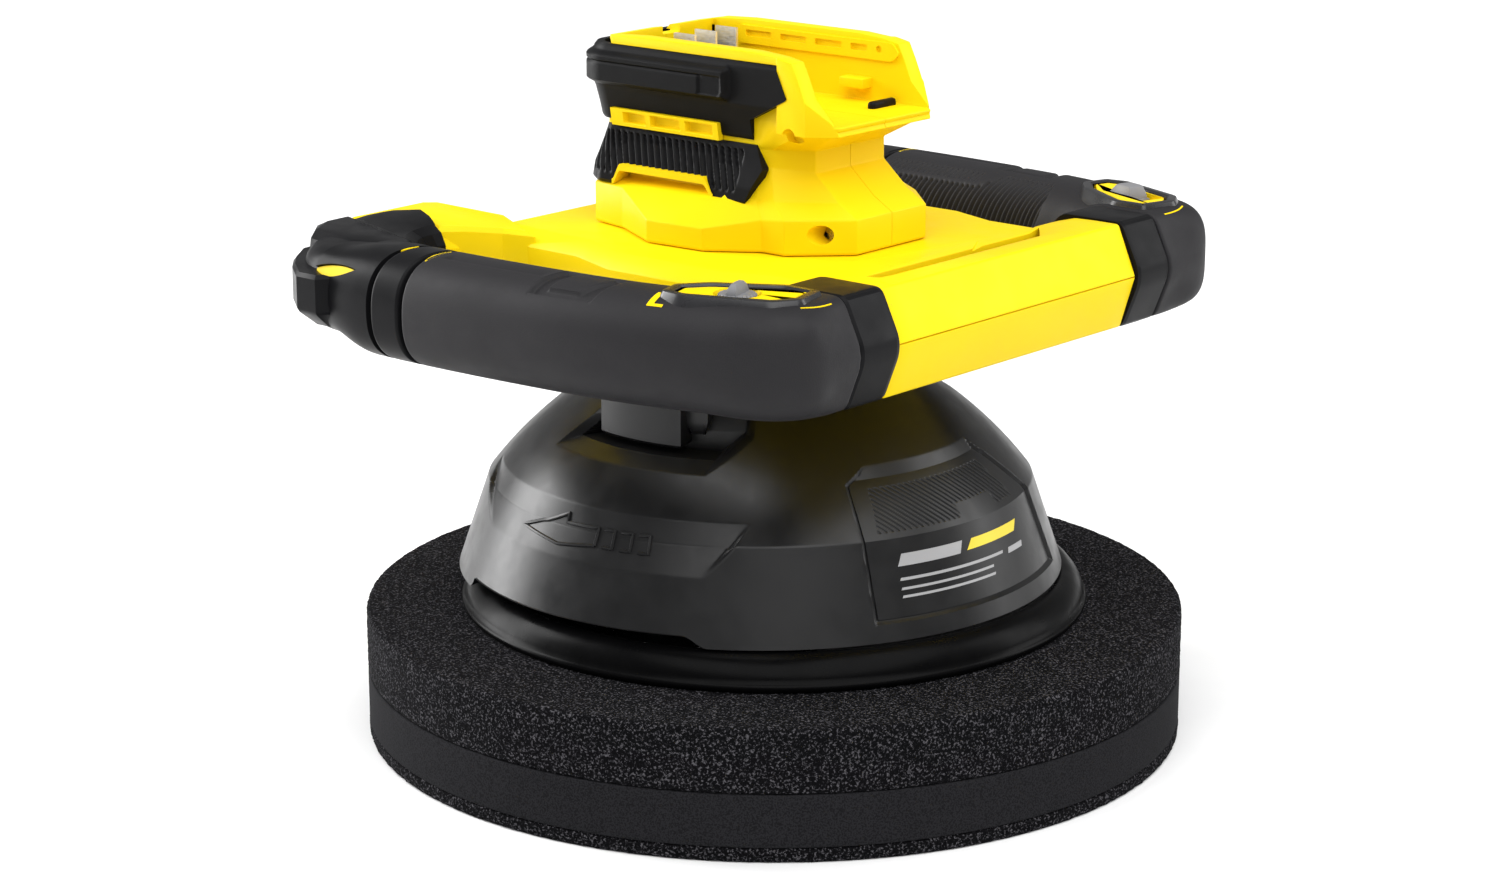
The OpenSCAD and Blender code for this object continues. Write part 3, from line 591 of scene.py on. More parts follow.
def on_dome(angle, z, out=0.0):
    """Point on the shroud at an angle and height, moved out along the surface's normal."""
    a = np.radians(angle)
    r = dome_radius(z)
    slope = dome_radius(z + 0.5) - dome_radius(z - 0.5)
    scale = 1 / np.sqrt(1 + slope ** 2)
    rr = r + out * scale
    return np.stack([rr * np.cos(a), rr * np.sin(a), z - out * slope * scale], -1)


def facet_depth(angle, z):
    """Depth of the flat facet that carries the arrow, cut across the shoulder."""
    foot, head = 70.2, 84.8
    chord = dome_radius(foot) + (dome_radius(head) - dome_radius(foot)) * (z - foot) / (head - foot)
    depth = np.clip(dome_radius(z) - chord, 0, None) * ((z > foot) & (z < head))
    left = -117 - (z - 69.5) * 1.3
    right = -61 + (z - 70.4) * 0.62
    return depth * plateau(angle, left - 1.0, left + 0.6, right - 0.6, right + 1.0)


def label_sides(z):
    """Left and right edge of the label's recess at a height, as angles."""
    edges = np.array(list(LABEL_EDGES.values()))
    return [np.interp(z, list(LABEL_EDGES), side) for side in edges.T]


def label_depth(angle, z):
    """Depth of the label's recess, with a broad bevel along its top."""
    left, right = label_sides(z)
    side = np.minimum(angle - left, right - angle) * np.radians(1) * dome_radius(z) / LABEL_DEPTH
    ends = np.minimum((z - min(LABEL_EDGES)) / 1.2, (max(LABEL_EDGES) - z) / 3.2)
    return LABEL_DEPTH * np.clip(np.minimum(side, ends), 0, 1)


def lifted(z, lift):
    """Heights with the rim raised by lift and the shoulder left where it is."""
    return z + lift[:, None] * np.clip((SHOULDER[1] - z) / (SHOULDER[1] - RIM_Z), 0, 1)


def build_shroud():
    """Dome with its raised rim, arrow facets, exhaust notches and label recess."""
    columns = detail(1080, 720)
    angles = np.arange(columns) * 360 / columns - 180
    r0, z0 = DOME[:, 0], DOME[:, 1]
    side = -np.abs(angles)
    first, last = RAISED_RIM
    lift = RAISED_BY * plateau(side, first - 1, first + 1, last - 4, last + 1)
    z = lifted(z0, lift)
    a = np.broadcast_to(angles[:, None], z.shape)
    depth = facet_depth(side[:, None], z) + label_depth(a, z)
    notch = notch_depth(side[:, None], z)
    slope = np.gradient(r0, z0)
    scale = 1 / np.sqrt(1 + slope ** 2)
    r = dome_radius(z) - depth * scale - notch
    z = z + depth * slope * scale
    t = np.radians(a)
    outer = np.stack([r * np.cos(t), r * np.sin(t), z], -1)
    inside = np.array([(RIM_R - 0.6, RIM_Z), (RIM_R - 2.5, RIM_Z + 0.5), (87.5, 66), (81.5, 79),
                       (70, 90.5), (46, 92), (41.5, 94), (41.5, SHROUD_TOP)])
    t = np.radians(angles)[:, None]
    inner = np.stack([inside[:, 0] * np.cos(t), inside[:, 0] * np.sin(t), lifted(inside[:, 1], lift)], -1)
    loop = np.concatenate([outer, inner[:, ::-1]], 1)
    shroud = make("motor_shroud_form", loop.reshape(-1, 3), closed_skin(*loop.shape[:2]))
    joined("motor_shroud_form", shroud, *arrow_lines(), *exhaust_bosses())
    present(shroud, "housing", "black_plastic", ["motor_shroud"], 24, SHROUD)


def notch_depth(angle, z):
    """Depth of the exhaust notch: a wide bevelled mouth and a floor running in to the neck."""
    r = dome_radius(z)
    rise = z - NOTCH_FLOOR
    left = -112.7 + rise * 0.33
    right = -63.5 + rise * 1.33
    inward = np.minimum(np.minimum(angle - left, right - angle) * np.radians(1) * r, rise)
    to_neck = np.clip(r - 51.5, 0, None)
    bevel = np.minimum(np.interp(inward, [0, 2.8], [0, 3.6]), to_neck)
    return np.where(inward > 2.95, to_neck, bevel)


RIBBON_SECTION = [(-0.5, -1.0), (-0.5, 0.6), (-0.28, 1.0), (0.28, 1.0), (0.5, 0.6), (0.5, -1.0)]


def ribbon(path, width, height, side):
    """Raised line along a path of (angle, height) points on the shroud."""
    dense = []
    for (a0, z0), (a1, z1) in zip(path, path[1:]):
        steps = max(2, int(abs(a1 - a0) / 1.5) + 1)
        dense += [(a0 + (a1 - a0) * k / steps, z0 + (z1 - z0) * k / steps) for k in range(steps)]
    dense.append(path[-1])
    rings = []
    for k, (a, z) in enumerate(dense):
        before, after = dense[max(0, k - 1)], dense[min(len(dense) - 1, k + 1)]
        depth = float(facet_depth(np.array(a), np.array(z)))
        here = on_dome(a, z, -depth)
        up = on_dome(a, z, 1.0) - on_dome(a, z, 0.0)
        along = on_dome(*after) - on_dome(*before)
        across = np.cross(up, along)
        across /= np.linalg.norm(across)
        ring = [here + across * width * u + up * height * v for u, v in RIBBON_SECTION]
        rings.append([(p[0], -side * p[1], p[2]) for p in ring])
    return loft("raised_line", rings)


def arrow_lines():
    """Turning-direction arrow with three brackets behind it, on both sides."""
    arrow = [(-84.6, 75.4), (-94, 73.6), (-105.9, 75.6), (-93.4, 82.4), (-93.2, 80.2), (-84.6, 80.6),
             (-84.6, 75.4)]
    brackets = [[(a - 2.6, 80.6), (a, 80.6), (a + 0.2, 75.4), (a - 2.2, 75.4)]
                for a in (-80.6, -76.4, -72.4)]
    return [ribbon(path, 1.0, 0.6, side) for side in (-1, 1) for path in [arrow] + brackets]


def exhaust_bosses():
    """Block and web that hang from the frame inside each exhaust notch."""
    found = []
    for side in (-1, 1):
        block_plan, web_plan = [], []
        for r, span, plan in ((59.5, (-103, -73), block_plan), (48, (-73, -103), block_plan),
                              (55.5, (-73.5, -66), web_plan), (48, (-66, -73.5), web_plan)):
            for a in np.radians(np.linspace(*span, 9)):
                plan.append((r * math.cos(a), -side * r * math.sin(a)))
        found.append(tiers("boss", block_plan, ((1.0, 100.2), (0, 101.2), (0, SHROUD_TOP))))
        found.append(tiers("web", web_plan, ((1.5, 104), (0, 108), (0, SHROUD_TOP))))
    return found


def label_mark(name, angles, heights, lean):
    """Thin printed bar on the label, with slanting ends."""
    a, z = grid(np.linspace(0, 1, 24), np.linspace(*heights, 4))
    angle = angles[0] + (angles[1] - angles[0]) * a + lean * (z - heights[0]) / 3
    n, m = angle.shape
    points = np.vstack([on_dome(angle, z, out).reshape(-1, 3) for out in (-0.88, -1.1)])
    return make(name, points, closed_sheet(n, m))


def build_label():
    """Recessed plate: a blank panel below a band of fine slanting ribs."""
    z_low, z_high = 57.3, 94.2
    rows = np.linspace(z_low, z_high, detail(230, 120))
    columns = np.linspace(0, 1, detail(560, 300))
    left, right = label_sides(rows)
    angle = (left + 1)[:, None] + (right - left - 2)[:, None] * columns
    z = np.broadcast_to(rows[:, None], angle.shape)
    s = np.radians(angle) * dome_radius(z)
    start, stop = -25 + (z - 80.7) * 0.1, 17.5 - (z - 80.7) * 0.35
    band = plateau(z, 80.9, 81.4, 91.6, 92.1) * plateau(angle, start - 0.3, start + 0.3,
                                                        stop - 0.3, stop + 0.3)
    band = band * (1 - plateau(angle, -5, -3, 9, 11) * (1 - ramp(z, 84.6, 85.0)))
    groove = np.clip(2.2 * wave((s * 0.82 + z * 0.9) / 1.75) - 1.0, 0, 1)
    top = on_dome(angle, z, -0.95 - 0.75 * groove * band).reshape(-1, 3)
    base = on_dome(angle, z, -1.75).reshape(-1, 3)
    plate = make("label_plate_form", np.vstack([top, base]), closed_sheet(*angle.shape))
    present(plate, "housing", "black_plastic", ["label_plate"], 60, SHROUD)
    bar = label_mark("label_bar", (-4.5, 12.5), (71.5, 74.4), 2.0)
    present(bar, "housing", "yellow_plastic", look=PRINT)
    lines = [label_mark("line", *where, 1.0) for where in (
        ((-22, -6.5), (71.2, 74.6)), ((-22, 6), (67.2, 68.0)), ((-22, 2), (64.6, 65.3)),
        ((-22, 2), (62.4, 63.1)), ((8, 14), (66.4, 68.0)))]
    present(joined("label_lines", *lines), "housing", "black_plastic", look=PRINT_GREY)


# ------------------------------------------------------------------ handles

# The handle runs from its rear end round the grip to the front bar, through numbered stations.
# The parts below say from which station to which each piece runs.
HANDLE = np.array([  # stations: outer edge x, y and inner edge x, y
    (-97.5, -60, -57, -60), (-97.5, -74, -60, -72), (-96, -93, -62, -80), (-83, -114, -58, -86),
    (-62, -123, -50, -89.3), (-30, -124.6, -30, -90.4), (8, -123, 8, -89.2), (38, -120, 36, -86.5),
    (66, -114, 56, -82), (88, -107, 63, -78.5), (100, -93, 65.5, -75.8), (100.2, -74.9, 66, -74.9),
    (100.2, -66, 66, -66)], float)
GRIP_HALF = 16.5
GRIP_Z = SEAM_Z - 0.2
CORNER_PART = (0.56, 4.6)
CORNER_INSIDE = (-0.2, 4.8)
CORNER_WALL = 2.5
CORE_COVER = 1.2
COLLAR_PART = (4.65, 4.97)
LINER_PART = (4.5, 5.1)
LINER_SUNK = 2.3
GRIP_PART = (5.02, 11.0)
GRIP_WALL = 3.0
MARK_PROUD = 0.12
SLEEVE = [(67, 132.8), (70, 128.2), (94.3, 128.2), (100.0, 142.4), (100.0, 147.2), (93.3, 160.9),
          (71, 160.9), (67, 156.8)]  # x and z round the sleeve that ends the handle
SLEEVE_MIDDLE = np.array([83.0, GRIP_Z])


def sleeve_reach():
    """Directions from the sleeve's middle, in order, and the distance to its outline in each."""
    rim = softened(SLEEVE, 3.5, 6) - SLEEVE_MIDDLE
    rim = np.vstack([np.linspace(a, b, 8, endpoint=False) for a, b in zip(rim, np.roll(rim, -1, axis=0))])
    direction = np.arctan2(rim[:, 1], rim[:, 0])
    order = np.argsort(direction)
    return direction[order], np.linalg.norm(rim, axis=1)[order]


SLEEVE_REACH = sleeve_reach()


def station(t):
    """Smooth curve through the stations; t counts them."""
    t = np.asarray(t, float)
    i = np.floor(t).astype(int)
    u = (t - i)[..., None]
    a, b, c, d = (HANDLE[np.clip(i + k, 0, len(HANDLE) - 1)] for k in (-1, 0, 1, 2))
    return 0.5 * (2 * b + (c - a) * u + (2 * a - 5 * b + 4 * c - d) * u ** 2
                  + (3 * b - a - 3 * c + d) * u ** 3)


def squareness(t):
    """Exponent of the section at a station: 1 gives an ellipse and less a squarer shape."""
    return 0.55 + 0.27 * plateau(t, 3.4, 4.4, 8, 9.5)


def at_corner(t):
    """1 on the rear corner of the handle, where its section is tucked in, and 0 elsewhere."""
    return plateau(t, 0.8, 2.0, 3.7, 4.42)


def on_handle(t, angle, out=0.0):
    """Point on the handle: angle 0 is outermost, 90 on top and 180 innermost."""
    t, angle, out = np.broadcast_arrays(np.asarray(t, float), np.asarray(angle, float), out)
    place = station(t)
    outer, inner = place[..., :2], place[..., 2:]
    half = (outer - inner) / 2
    w = np.linalg.norm(half, axis=-1, keepdims=True)
    mid = (outer + inner) / 2
    a = np.radians(angle)
    e = squareness(t)
    c, s = np.cos(a), np.sin(a)
    below = at_corner(t) * np.clip(-s, 0, None)
    above = at_corner(t) * np.clip(s, 0, None)
    tuck = np.where(c > 0, 1 - 0.4 * below, 1.0)
    flat = np.sign(c) * np.abs(c) ** e * tuck
    across = (w[..., 0] + out) * flat
    up = (GRIP_HALF + out) * np.sign(s) * np.abs(s) ** e * (1 - 0.24 * below - 0.1 * above)
    direction = np.arctan2(up, across)
    reach = np.interp(direction, *SLEEVE_REACH, period=2 * math.pi) + out
    blend = ramp(t, 9.7, 10.8)
    across = across + blend * (reach * np.cos(direction) - across)
    up = up + blend * (reach * np.sin(direction) - up)
    return np.concatenate([mid + half / w * across[..., None], (GRIP_Z + up)[..., None]], -1)


def handle_length(part, steps=400):
    """Arc length along the handle's middle line, as a pair of arrays."""
    t = np.linspace(*part, steps)
    place = station(t)
    mid = (place[:, :2] + place[:, 2:]) / 2
    return t, np.concatenate([[0], np.cumsum(np.linalg.norm(np.diff(mid, axis=0), axis=1))])


def handle_tube(name, part, steps, sides, wall, relief=None, soft=0.7):
    """Tube along the handle with rounded ends; relief(t, angle, length) moves its skin."""
    t_known, length = handle_length(part)
    t = np.interp(np.linspace(0, length[-1], steps), length, t_known)
    reach = np.interp(t, t_known, length)
    a = np.arange(sides) * 360 / sides
    T, A = grid(t, a)
    L = np.broadcast_to(reach[:, None], T.shape)
    ends = np.minimum(L, reach[-1] - L)
    drop = soft * (1 - np.sqrt(np.clip(1 - (1 - np.clip(ends / soft, 0, 1)) ** 2, 0, 1)))
    out = -drop + (relief(T, A, L) if relief else 0)
    outer = on_handle(T, A, out).reshape(-1, 3)
    inner_rows = 40
    ti = np.interp(np.linspace(0, length[-1], inner_rows), length, t_known)
    inner = on_handle(*grid(ti, a), -wall).reshape(-1, 3)
    n = sides
    base = len(outer)
    faces = skin(steps, n) + skin(inner_rows, n, base)
    for o, i in ((0, base), ((steps - 1) * n, base + (inner_rows - 1) * n)):
        faces += [(o + k, o + (k + 1) % n, i + (k + 1) % n, i + k) for k in range(n)]
    return make(name, np.vstack([outer, inner]), faces)


def handle_patch(name, t_range, a_range, steps):
    """Small solid let into the handle's surface between two stations and two angles."""
    t, a = (np.linspace(*ends, count) for ends, count in zip((t_range, a_range), steps))
    T, A = grid(t, a)
    points = np.vstack([on_handle(T, A, out).reshape(-1, 3) for out in (MARK_PROUD, -1.0)])
    return make(name, points, closed_sheet(*steps))


def handle_solid(name, t_range, out, rows=90, sides=112):
    """Closed solid along the handle, drawn in or out all over."""
    t = np.linspace(*t_range, rows)
    a = np.arange(sides) * 360 / sides
    return loft(name, list(on_handle(*grid(t, a), out)))


def handle_lens(name, centre, half, lean, top, bottom):
    """Lens-shaped solid on the handle's surface; centre and half are (station, angle)."""
    k = np.linspace(-1, 1, 24)
    across = half[1] * (1 - k ** 2)
    t = np.concatenate([centre[0] + half[0] * k, (centre[0] + half[0] * k)[-2:0:-1]])
    a = np.concatenate([centre[1] + lean * k + across, (centre[1] + lean * k - across)[-2:0:-1]])
    return loft(name, [on_handle(t, a, out) for out in (bottom, top)])


def window(t, angle):
    """Shape of the shallow window near the top of the grip: 1 inside and 0 outside."""
    slant = 0.0012 * (angle - 60)
    outside = plateau(t, 6.19, 6.23, 6.93 + slant, 6.97 + slant) * plateau(angle, 48, 50.5, 98, 101)
    inside = plateau(t, 6.34, 6.38, 6.72 + slant * 3, 6.77 + slant * 3) * plateau(angle, 58.5, 61, 96, 99)
    return outside * (1 - 0.8 * inside)


def grip_relief(t, angle, length):
    """Two bands of slanting finger ribs inside, and the window and a slot near the top."""
    pitch = 2.15
    rounded = 0.012 * ((angle - 140) / 12) ** 2
    widening = 26 * ramp(t, 6.1, 6.5)
    low_band = plateau(t, 5.14, 5.18, 7.24 - rounded, 7.3 - rounded) \
        * plateau(angle, 138 - widening, 141 - widening, 222, 230)
    high_band = plateau(t, 5.1, 5.14, 6.1, 6.14) * plateau(angle, 114, 116, 130, 132)
    ribs = np.clip(1.7 * wave((length + 0.1 * (angle - 140)) / pitch) - 0.35, 0, 1)
    slot = plateau(t, 5.14, 5.2, 6.1, 6.2) * plateau(angle, 80, 82, 86, 88)
    return -0.8 * ribs * np.clip(low_band + high_band, 0, 1) - 1.3 * window(t, angle) - 0.6 * slot


def grip_accents():
    """Yellow marks let into the right-hand grip and the joints beside it."""
    marks = [handle_lens("mark", (5.05, 82), (0.024, 15), 0, 0.04, -2.0),
             handle_lens("mark", (4.63, 86), (0.016, 8), 0, 0.02, -2.0),
             handle_patch("mark", (7.56, 7.63), (54, 79), (4, 14)),
             handle_patch("mark", (7.63, 7.74), (54, 58), (6, 4)),
             handle_patch("mark", (9.82, 10.6), (64.5, 66.5), (20, 3))]
    return joined("right_grip_accents", *marks)


def build_grips():
    """Rubber grips with their yellow marks."""
    right = handle_tube("right_grip_form", GRIP_PART, *detail((460, 128), (240, 72)), GRIP_WALL,
                        grip_relief)
    minus(right, prism("well", inset(BEZEL, 2.5), 155.0, 175.0, 0.1))
    present_pair(right, "grip_rubber", "grip", 50)
    present_pair(grip_accents(), "yellow_plastic", sharp=40)


def build_collars():
    """Ring between each grip and its rear corner, on a liner that runs under both."""
    right = handle_tube("collar_right", COLLAR_PART, 24, 128, 2.5, soft=0.5)
    plus(right, handle_tube("liner", LINER_PART, 16, 128, 3.05, always(-LINER_SUNK), 0.05))
    collars = joined("rear_collars_form", right, mirrored(right))
    present(collars, "housing", "black_plastic", ["rear_collars"], sharp=50)


# ------------------------------------------------------------------ rear corners

SPLIT_FROM = np.array([-97.5, -81.0])
SPLIT_TO = np.array([-52.0, -95.0])
LUG = [(-96.5, -92), (-95.5, -102), (-88, -112), (-81.5, -118.5), (-71, -126.5), (-63, -126.5),
       (-60, -121.5), (-60, -104), (-80, -92)]
LUG_TOP = 152.8
LUG_CENTRE = np.array([-74.0, -103.0])
TERRACE = [(-104, -70), (-130, -70), (-130, -135), (-72, -135), (-66.5, -107.5), (-60, -104), (-60, -85)]
HUMP_FOOT = [(-99, -77), (-104.2, -88), (-89.5, -104), (-68, -107), (-58.5, -104.5), (-55, -90)]
HUMP_TOP = [(-98.2, -77), (-97.8, -89.6), (-91.5, -99.5), (-71, -104.8), (-58, -100), (-55, -90)]


def terrace():
    """What is cut from the corner's top outside its band, down to a skin over the handle core."""
    above = column("terrace", turned(TERRACE), LUG_TOP - 0.1, 175)
    return minus(above, handle_solid("skin", (-0.1, 4.9), -CORE_COVER))


def split_block(outer_side):
    """Everything on the guard's side of the joint between guard and cap, or on the cap's."""
    run = (SPLIT_TO - SPLIT_FROM) / np.linalg.norm(SPLIT_TO - SPLIT_FROM)
    away = np.array([run[1], -run[0]]) * (1 if outer_side else -1)
    a, b = SPLIT_FROM - run * 60 + away * 0.4, SPLIT_TO + run * 90 + away * 0.4
    return column("split", turned([a, b, b + away * 120, a + away * 120]), 100, 190)


def build_guard():
    """Bumper round the rear corner: body, stepped lug and raised hump, with an eye-shaped window."""
    body = minus(handle_solid("right_corner_guard_form", CORNER_PART, 0), terrace())
    sides = turned(LUG)
    below = LUG_CENTRE + (sides - LUG_CENTRE) * 0.62
    lug = loft("lug", [level(below, 135.4), level(inset(LUG, 0.8), 140.8), level(inset(LUG, 0.1), 142),
                       level(inset(LUG, 0.1), 151.6), level(inset(LUG, 1.0), LUG_TOP)])
    foot, top = turned(HUMP_FOOT), turned(HUMP_TOP)
    hump = loft("hump", [level(foot, 149), level(foot, 152.6), level(0.75 * foot + 0.25 * top, 156.6),
                         level(top, 158.4), level(inset(HUMP_TOP, 0.9), 158.9)])
    plus(body, lug, hump)
    minus(body, split_block(False), handle_solid("inside", CORNER_INSIDE, -CORNER_WALL),
          handle_lens("eye", (4.0, 28.5), (0.36, 8.5), 8, 3.0, -2.2))
    insert = minus(handle_lens("right_guard_insert", (4.0, 28.0), (0.35, 8.0), 8, -0.7, -2.4), terrace())
    present_pair(body, "black_plastic", "corner_guard", 32)
    inserts = joined("guard_inserts_form", insert, mirrored(insert))
    present(inserts, "housing", "yellow_plastic", ["guard_inserts"], sharp=40)


def build_cap():
    """Inner half of the rear corner, cut away where the yellow ear shows on top."""
    body = minus(handle_solid("right_rear_cap_form", CORNER_PART, 0, rows=9, sides=18), split_block(True))
    room = turned([(-99, -85), (-97.4, -83.4), (-80, -66.6), (-65.6, -74.4), (-40, -74.4), (-40, -40),
                   (-99, -40)])
    minus(body, column("room", room, 115, 175), handle_solid("inside", CORNER_INSIDE, -CORNER_WALL))
    present_pair(body, "black_plastic", "rear_cap", 12)


# ------------------------------------------------------------------ frame shells

DECK_SIDE = [(-66.5, -50), (-46, -53.6), (-27, -54), (-7, -61.5), (33, -61.5), (50, -56), (76, -56)]
DECK_Z = 156.5
EAR = [(-97.5, -49, 158.7), (-93.5, -45.3, 158.7), (-64, -45.3, 158.4), (-45, -52.5, 156.4),
       (-55.5, -56, 156.6), (-61.5, -66, 158.0), (-66, -73.4, 158.4), (-80, -65.8, 158.7),
       (-97.3, -82.4, 158.7)]
EAR_LOW = FRAME_LOW + 3.6
MOTOR_HOLE_R = 30.0
BAR_HALF = 57.7
BAR = [(66.5, FRAME_LOW), (94.1, FRAME_LOW), (BAR_X, SEAM_Z), (92.7, FRAME_TOP), (84, FRAME_TOP - 0.5),
       (77.4, 157.6), (74, 156.3), (66.5, 155.5)]
BAR_END = BAR[:4] + [(84, FRAME_TOP), (77, FRAME_TOP - 0.2), (71, FRAME_TOP - 1.8), (66.5, 157)]


def ear(side):
    """Rear ear with its top sloping down to the deck."""
    heights = np.array([p[2] for p in EAR])
    plan = [(p[0], p[1]) for p in EAR]
    tight = drawn_in(plan, 1.3)
    rings = [level(tight, EAR_LOW), level(plan, EAR_LOW + 1.3),
             [(x, y, z - 1.4) for (x, y), z in zip(plan, heights)],
             [(x, y, z) for (x, y), z in zip(tight, heights)]]
    return loft("ear", [[(x, -side * y, z) for x, y, z in ring] for ring in rings])


def drawn_in(plan, distance):
    """Each corner of a plan moved inwards, keeping the corner's order."""
    p = np.asarray(plan, float)
    q = inset(p, distance)
    return q if np.allclose(turned(p), p) else q[::-1]


def frame_block():
    """Deck, ears and front bar as one solid, with the groove and the pocket in the deck."""
    deck = tiers("deck", both_sides(DECK_SIDE),
                 ((1.5, FRAME_LOW), (0, FRAME_LOW + 1.5), (0, DECK_Z - 4.6), (0.5, DECK_Z - 3.9),
                  (4.4, DECK_Z - 0.4), (5.2, DECK_Z)))
    places = [(BAR_END, -BAR_HALF), (BAR_END, -50), (BAR, -38),
              (BAR, 38), (BAR_END, 50), (BAR_END, BAR_HALF)]
    bar = eased(loft("bar", [[(x, y, z) for x, z in profile] for profile, y in places]), 0.9, 3, 12)
    plus(deck, ear(-1), ear(1), bar)
    groove = loft("groove", [level([(74.0, -31), (77.2, -31), (80.2, -3), (77.6, -3)], 155.4),
                             level([(73.2, -32), (79.4, -32), (82.6, -2), (76.6, -2)], 162)])
    pocket = loft("pocket", [[(73.4, 8.4, 155.2), (78.8, 16.8, 157.6), (64.3, 24.6, 156.4)],
                             [(73.4, 8.4, 162), (78.8, 16.8, 162), (64.3, 24.6, 162)]])
    minus(deck, groove, pocket)
    return deck


def frame_inside():
    """Hollow between the two frame shells, and the hole for the motor underneath."""
    wall = 2.6
    room = column("room", inset(both_sides(DECK_SIDE), wall + 3), FRAME_LOW + wall, DECK_Z - wall)
    ends = [block("room", (-94, min(y), FRAME_LOW + wall), (-65, max(y), 155.5))
            for y in ((-65, -49), (49, 65))]
    bar = block("room", (70, -52, FRAME_LOW + wall + 0.1), (90.5, 52, 157.6))
    hole = revolve_solid("hole", [(MOTOR_HOLE_R, FRAME_LOW - 2), (MOTOR_HOLE_R, FRAME_LOW + 10)])
    return plus(room, *ends, bar, hole)


def revolve_solid(name, profile, centre=(0, 0), steps=96):
    """Solid of revolution through (radius, height) rings."""
    a = full_turn(steps)
    return loft(name, [np.stack([centre[0] + r * np.cos(a), centre[1] + r * np.sin(a),
                                 np.full(steps, z)], -1) for r, z in profile])


def build_frame():
    """Upper and lower frame shells, with a fine joint line between them."""
    whole = minus(frame_block(), frame_inside())
    lower = twin(whole, "lower_frame_shell_form")
    whole.name = "upper_frame_shell_form"
    minus(whole, block("below", (-150, -120, 90), (150, 120, SEAM_Z + 0.12)))
    minus(lower, block("above", (-150, -120, SEAM_Z - 0.3), (150, 120, 200)))
    for obj, node in ((whole, "upper_frame_shell"), (lower, "lower_frame_shell")):
        eased(obj, 0.35, 2, 30)
        present(obj, "housing", "yellow_plastic", [node], sharp=28)


def build_sleeves():
    """Black collars between the bar and the grips, slightly crowned along their length."""
    outline = softened(SLEEVE, 2.5, 4)

    def ring(share, y):
        return [(x, y, z) for x, z in SLEEVE_MIDDLE + (outline - SLEEVE_MIDDLE) * share]

    right = loft("right_front_sleeve_form", [ring(s, y) for s, y in (
        (0.965, -74.6), (0.995, -73.6), (1.0, -66), (1.0, -59.4), (0.985, -58.0))])
    minus(right, loft("hollow", [ring(0.885, -80), ring(0.885, -50)]))
    present_pair(right, "black_plastic", "front_sleeve", 10)


# ------------------------------------------------------------------ controls

BEZEL = [(53, -107.2), (49.6, -97), (56.5, -88), (76, -76.2), (88.6, -76.2), (92.6, -90),
         (87.5, -98.6), (62, -108.6)]
BEZEL_TOP = 162.3
TRAY_Z = 159.2
TRAY_RIM = 161.7
TRAY_INSET = 5.3
TRAY_CENTRE = np.array([71.0, -93.5])
TRAY_TURN = math.radians(18)


def oblong(u0, u1, half):
    """Rectangle from u0 to u1 along the tray, half to each side across it."""
    return [(u0, -half), (u1, -half), (u1, half), (u0, half)]


def in_tray(outline):
    """Points given along and across the control tray, turned into the frame's plan."""
    c, s = math.cos(TRAY_TURN), math.sin(TRAY_TURN)
    return [(TRAY_CENTRE[0] + u * c - v * s, TRAY_CENTRE[1] + u * s + v * c) for u, v in outline]


def tray(name, plan, *cutters):
    """Yellow tray inside the bezel, less the cutters."""
    return minus(prism(name, inset(plan, TRAY_INSET), TRAY_Z - 1.2, TRAY_RIM, 0.2), *cutters)


def build_bezels():
    """Wedge-shaped ring round each control, on a yellow tray."""
    sloped = [(3.0, 154.5), (0.0, 157.6), (0.3, 159.8), (1.5, BEZEL_TOP - 0.2), (2.0, BEZEL_TOP),
              (3.6, BEZEL_TOP), (4.3, BEZEL_TOP - 0.5), (5.0, 159.6), (5.2, 156.6), (5.2, 154.5)]
    plan = softened(BEZEL, 2.2, 4)
    rings = [level(inset(plan, d), z) for d, z in sloped]
    bezel = make("right_bezel_form", np.vstack(rings), closed_skin(len(rings), len(plan)))
    right = tray("right_control_tray_form", plan,
                 revolve_solid("well", [(6.1, TRAY_Z), (7.0, TRAY_RIM + 1)], TRAY_CENTRE, 64),
                 revolve_solid("hole", [(2.3, TRAY_Z - 3), (2.3, TRAY_Z + 3)], TRAY_CENTRE, 32))
    unmirrored = tray("right_of_left_tray", plan,
                      column("well", in_tray(oblong(-6.8, 12.9, 4.5)), TRAY_Z, TRAY_Z + 5),
                      column("slot", in_tray(oblong(-3, 9, 2)), TRAY_Z - 3, TRAY_Z + 3))
    left = mirrored(unmirrored)
    left.name = "left_control_tray_form"
    bpy.data.objects.remove(unmirrored)
    present_pair(bezel, "black_plastic", "bezel", 28, SATIN)
    for obj, node in ((right, "right_control_tray"), (left, "left_control_tray")):
        present(obj, "housing", "yellow_plastic", [node], sharp=30)


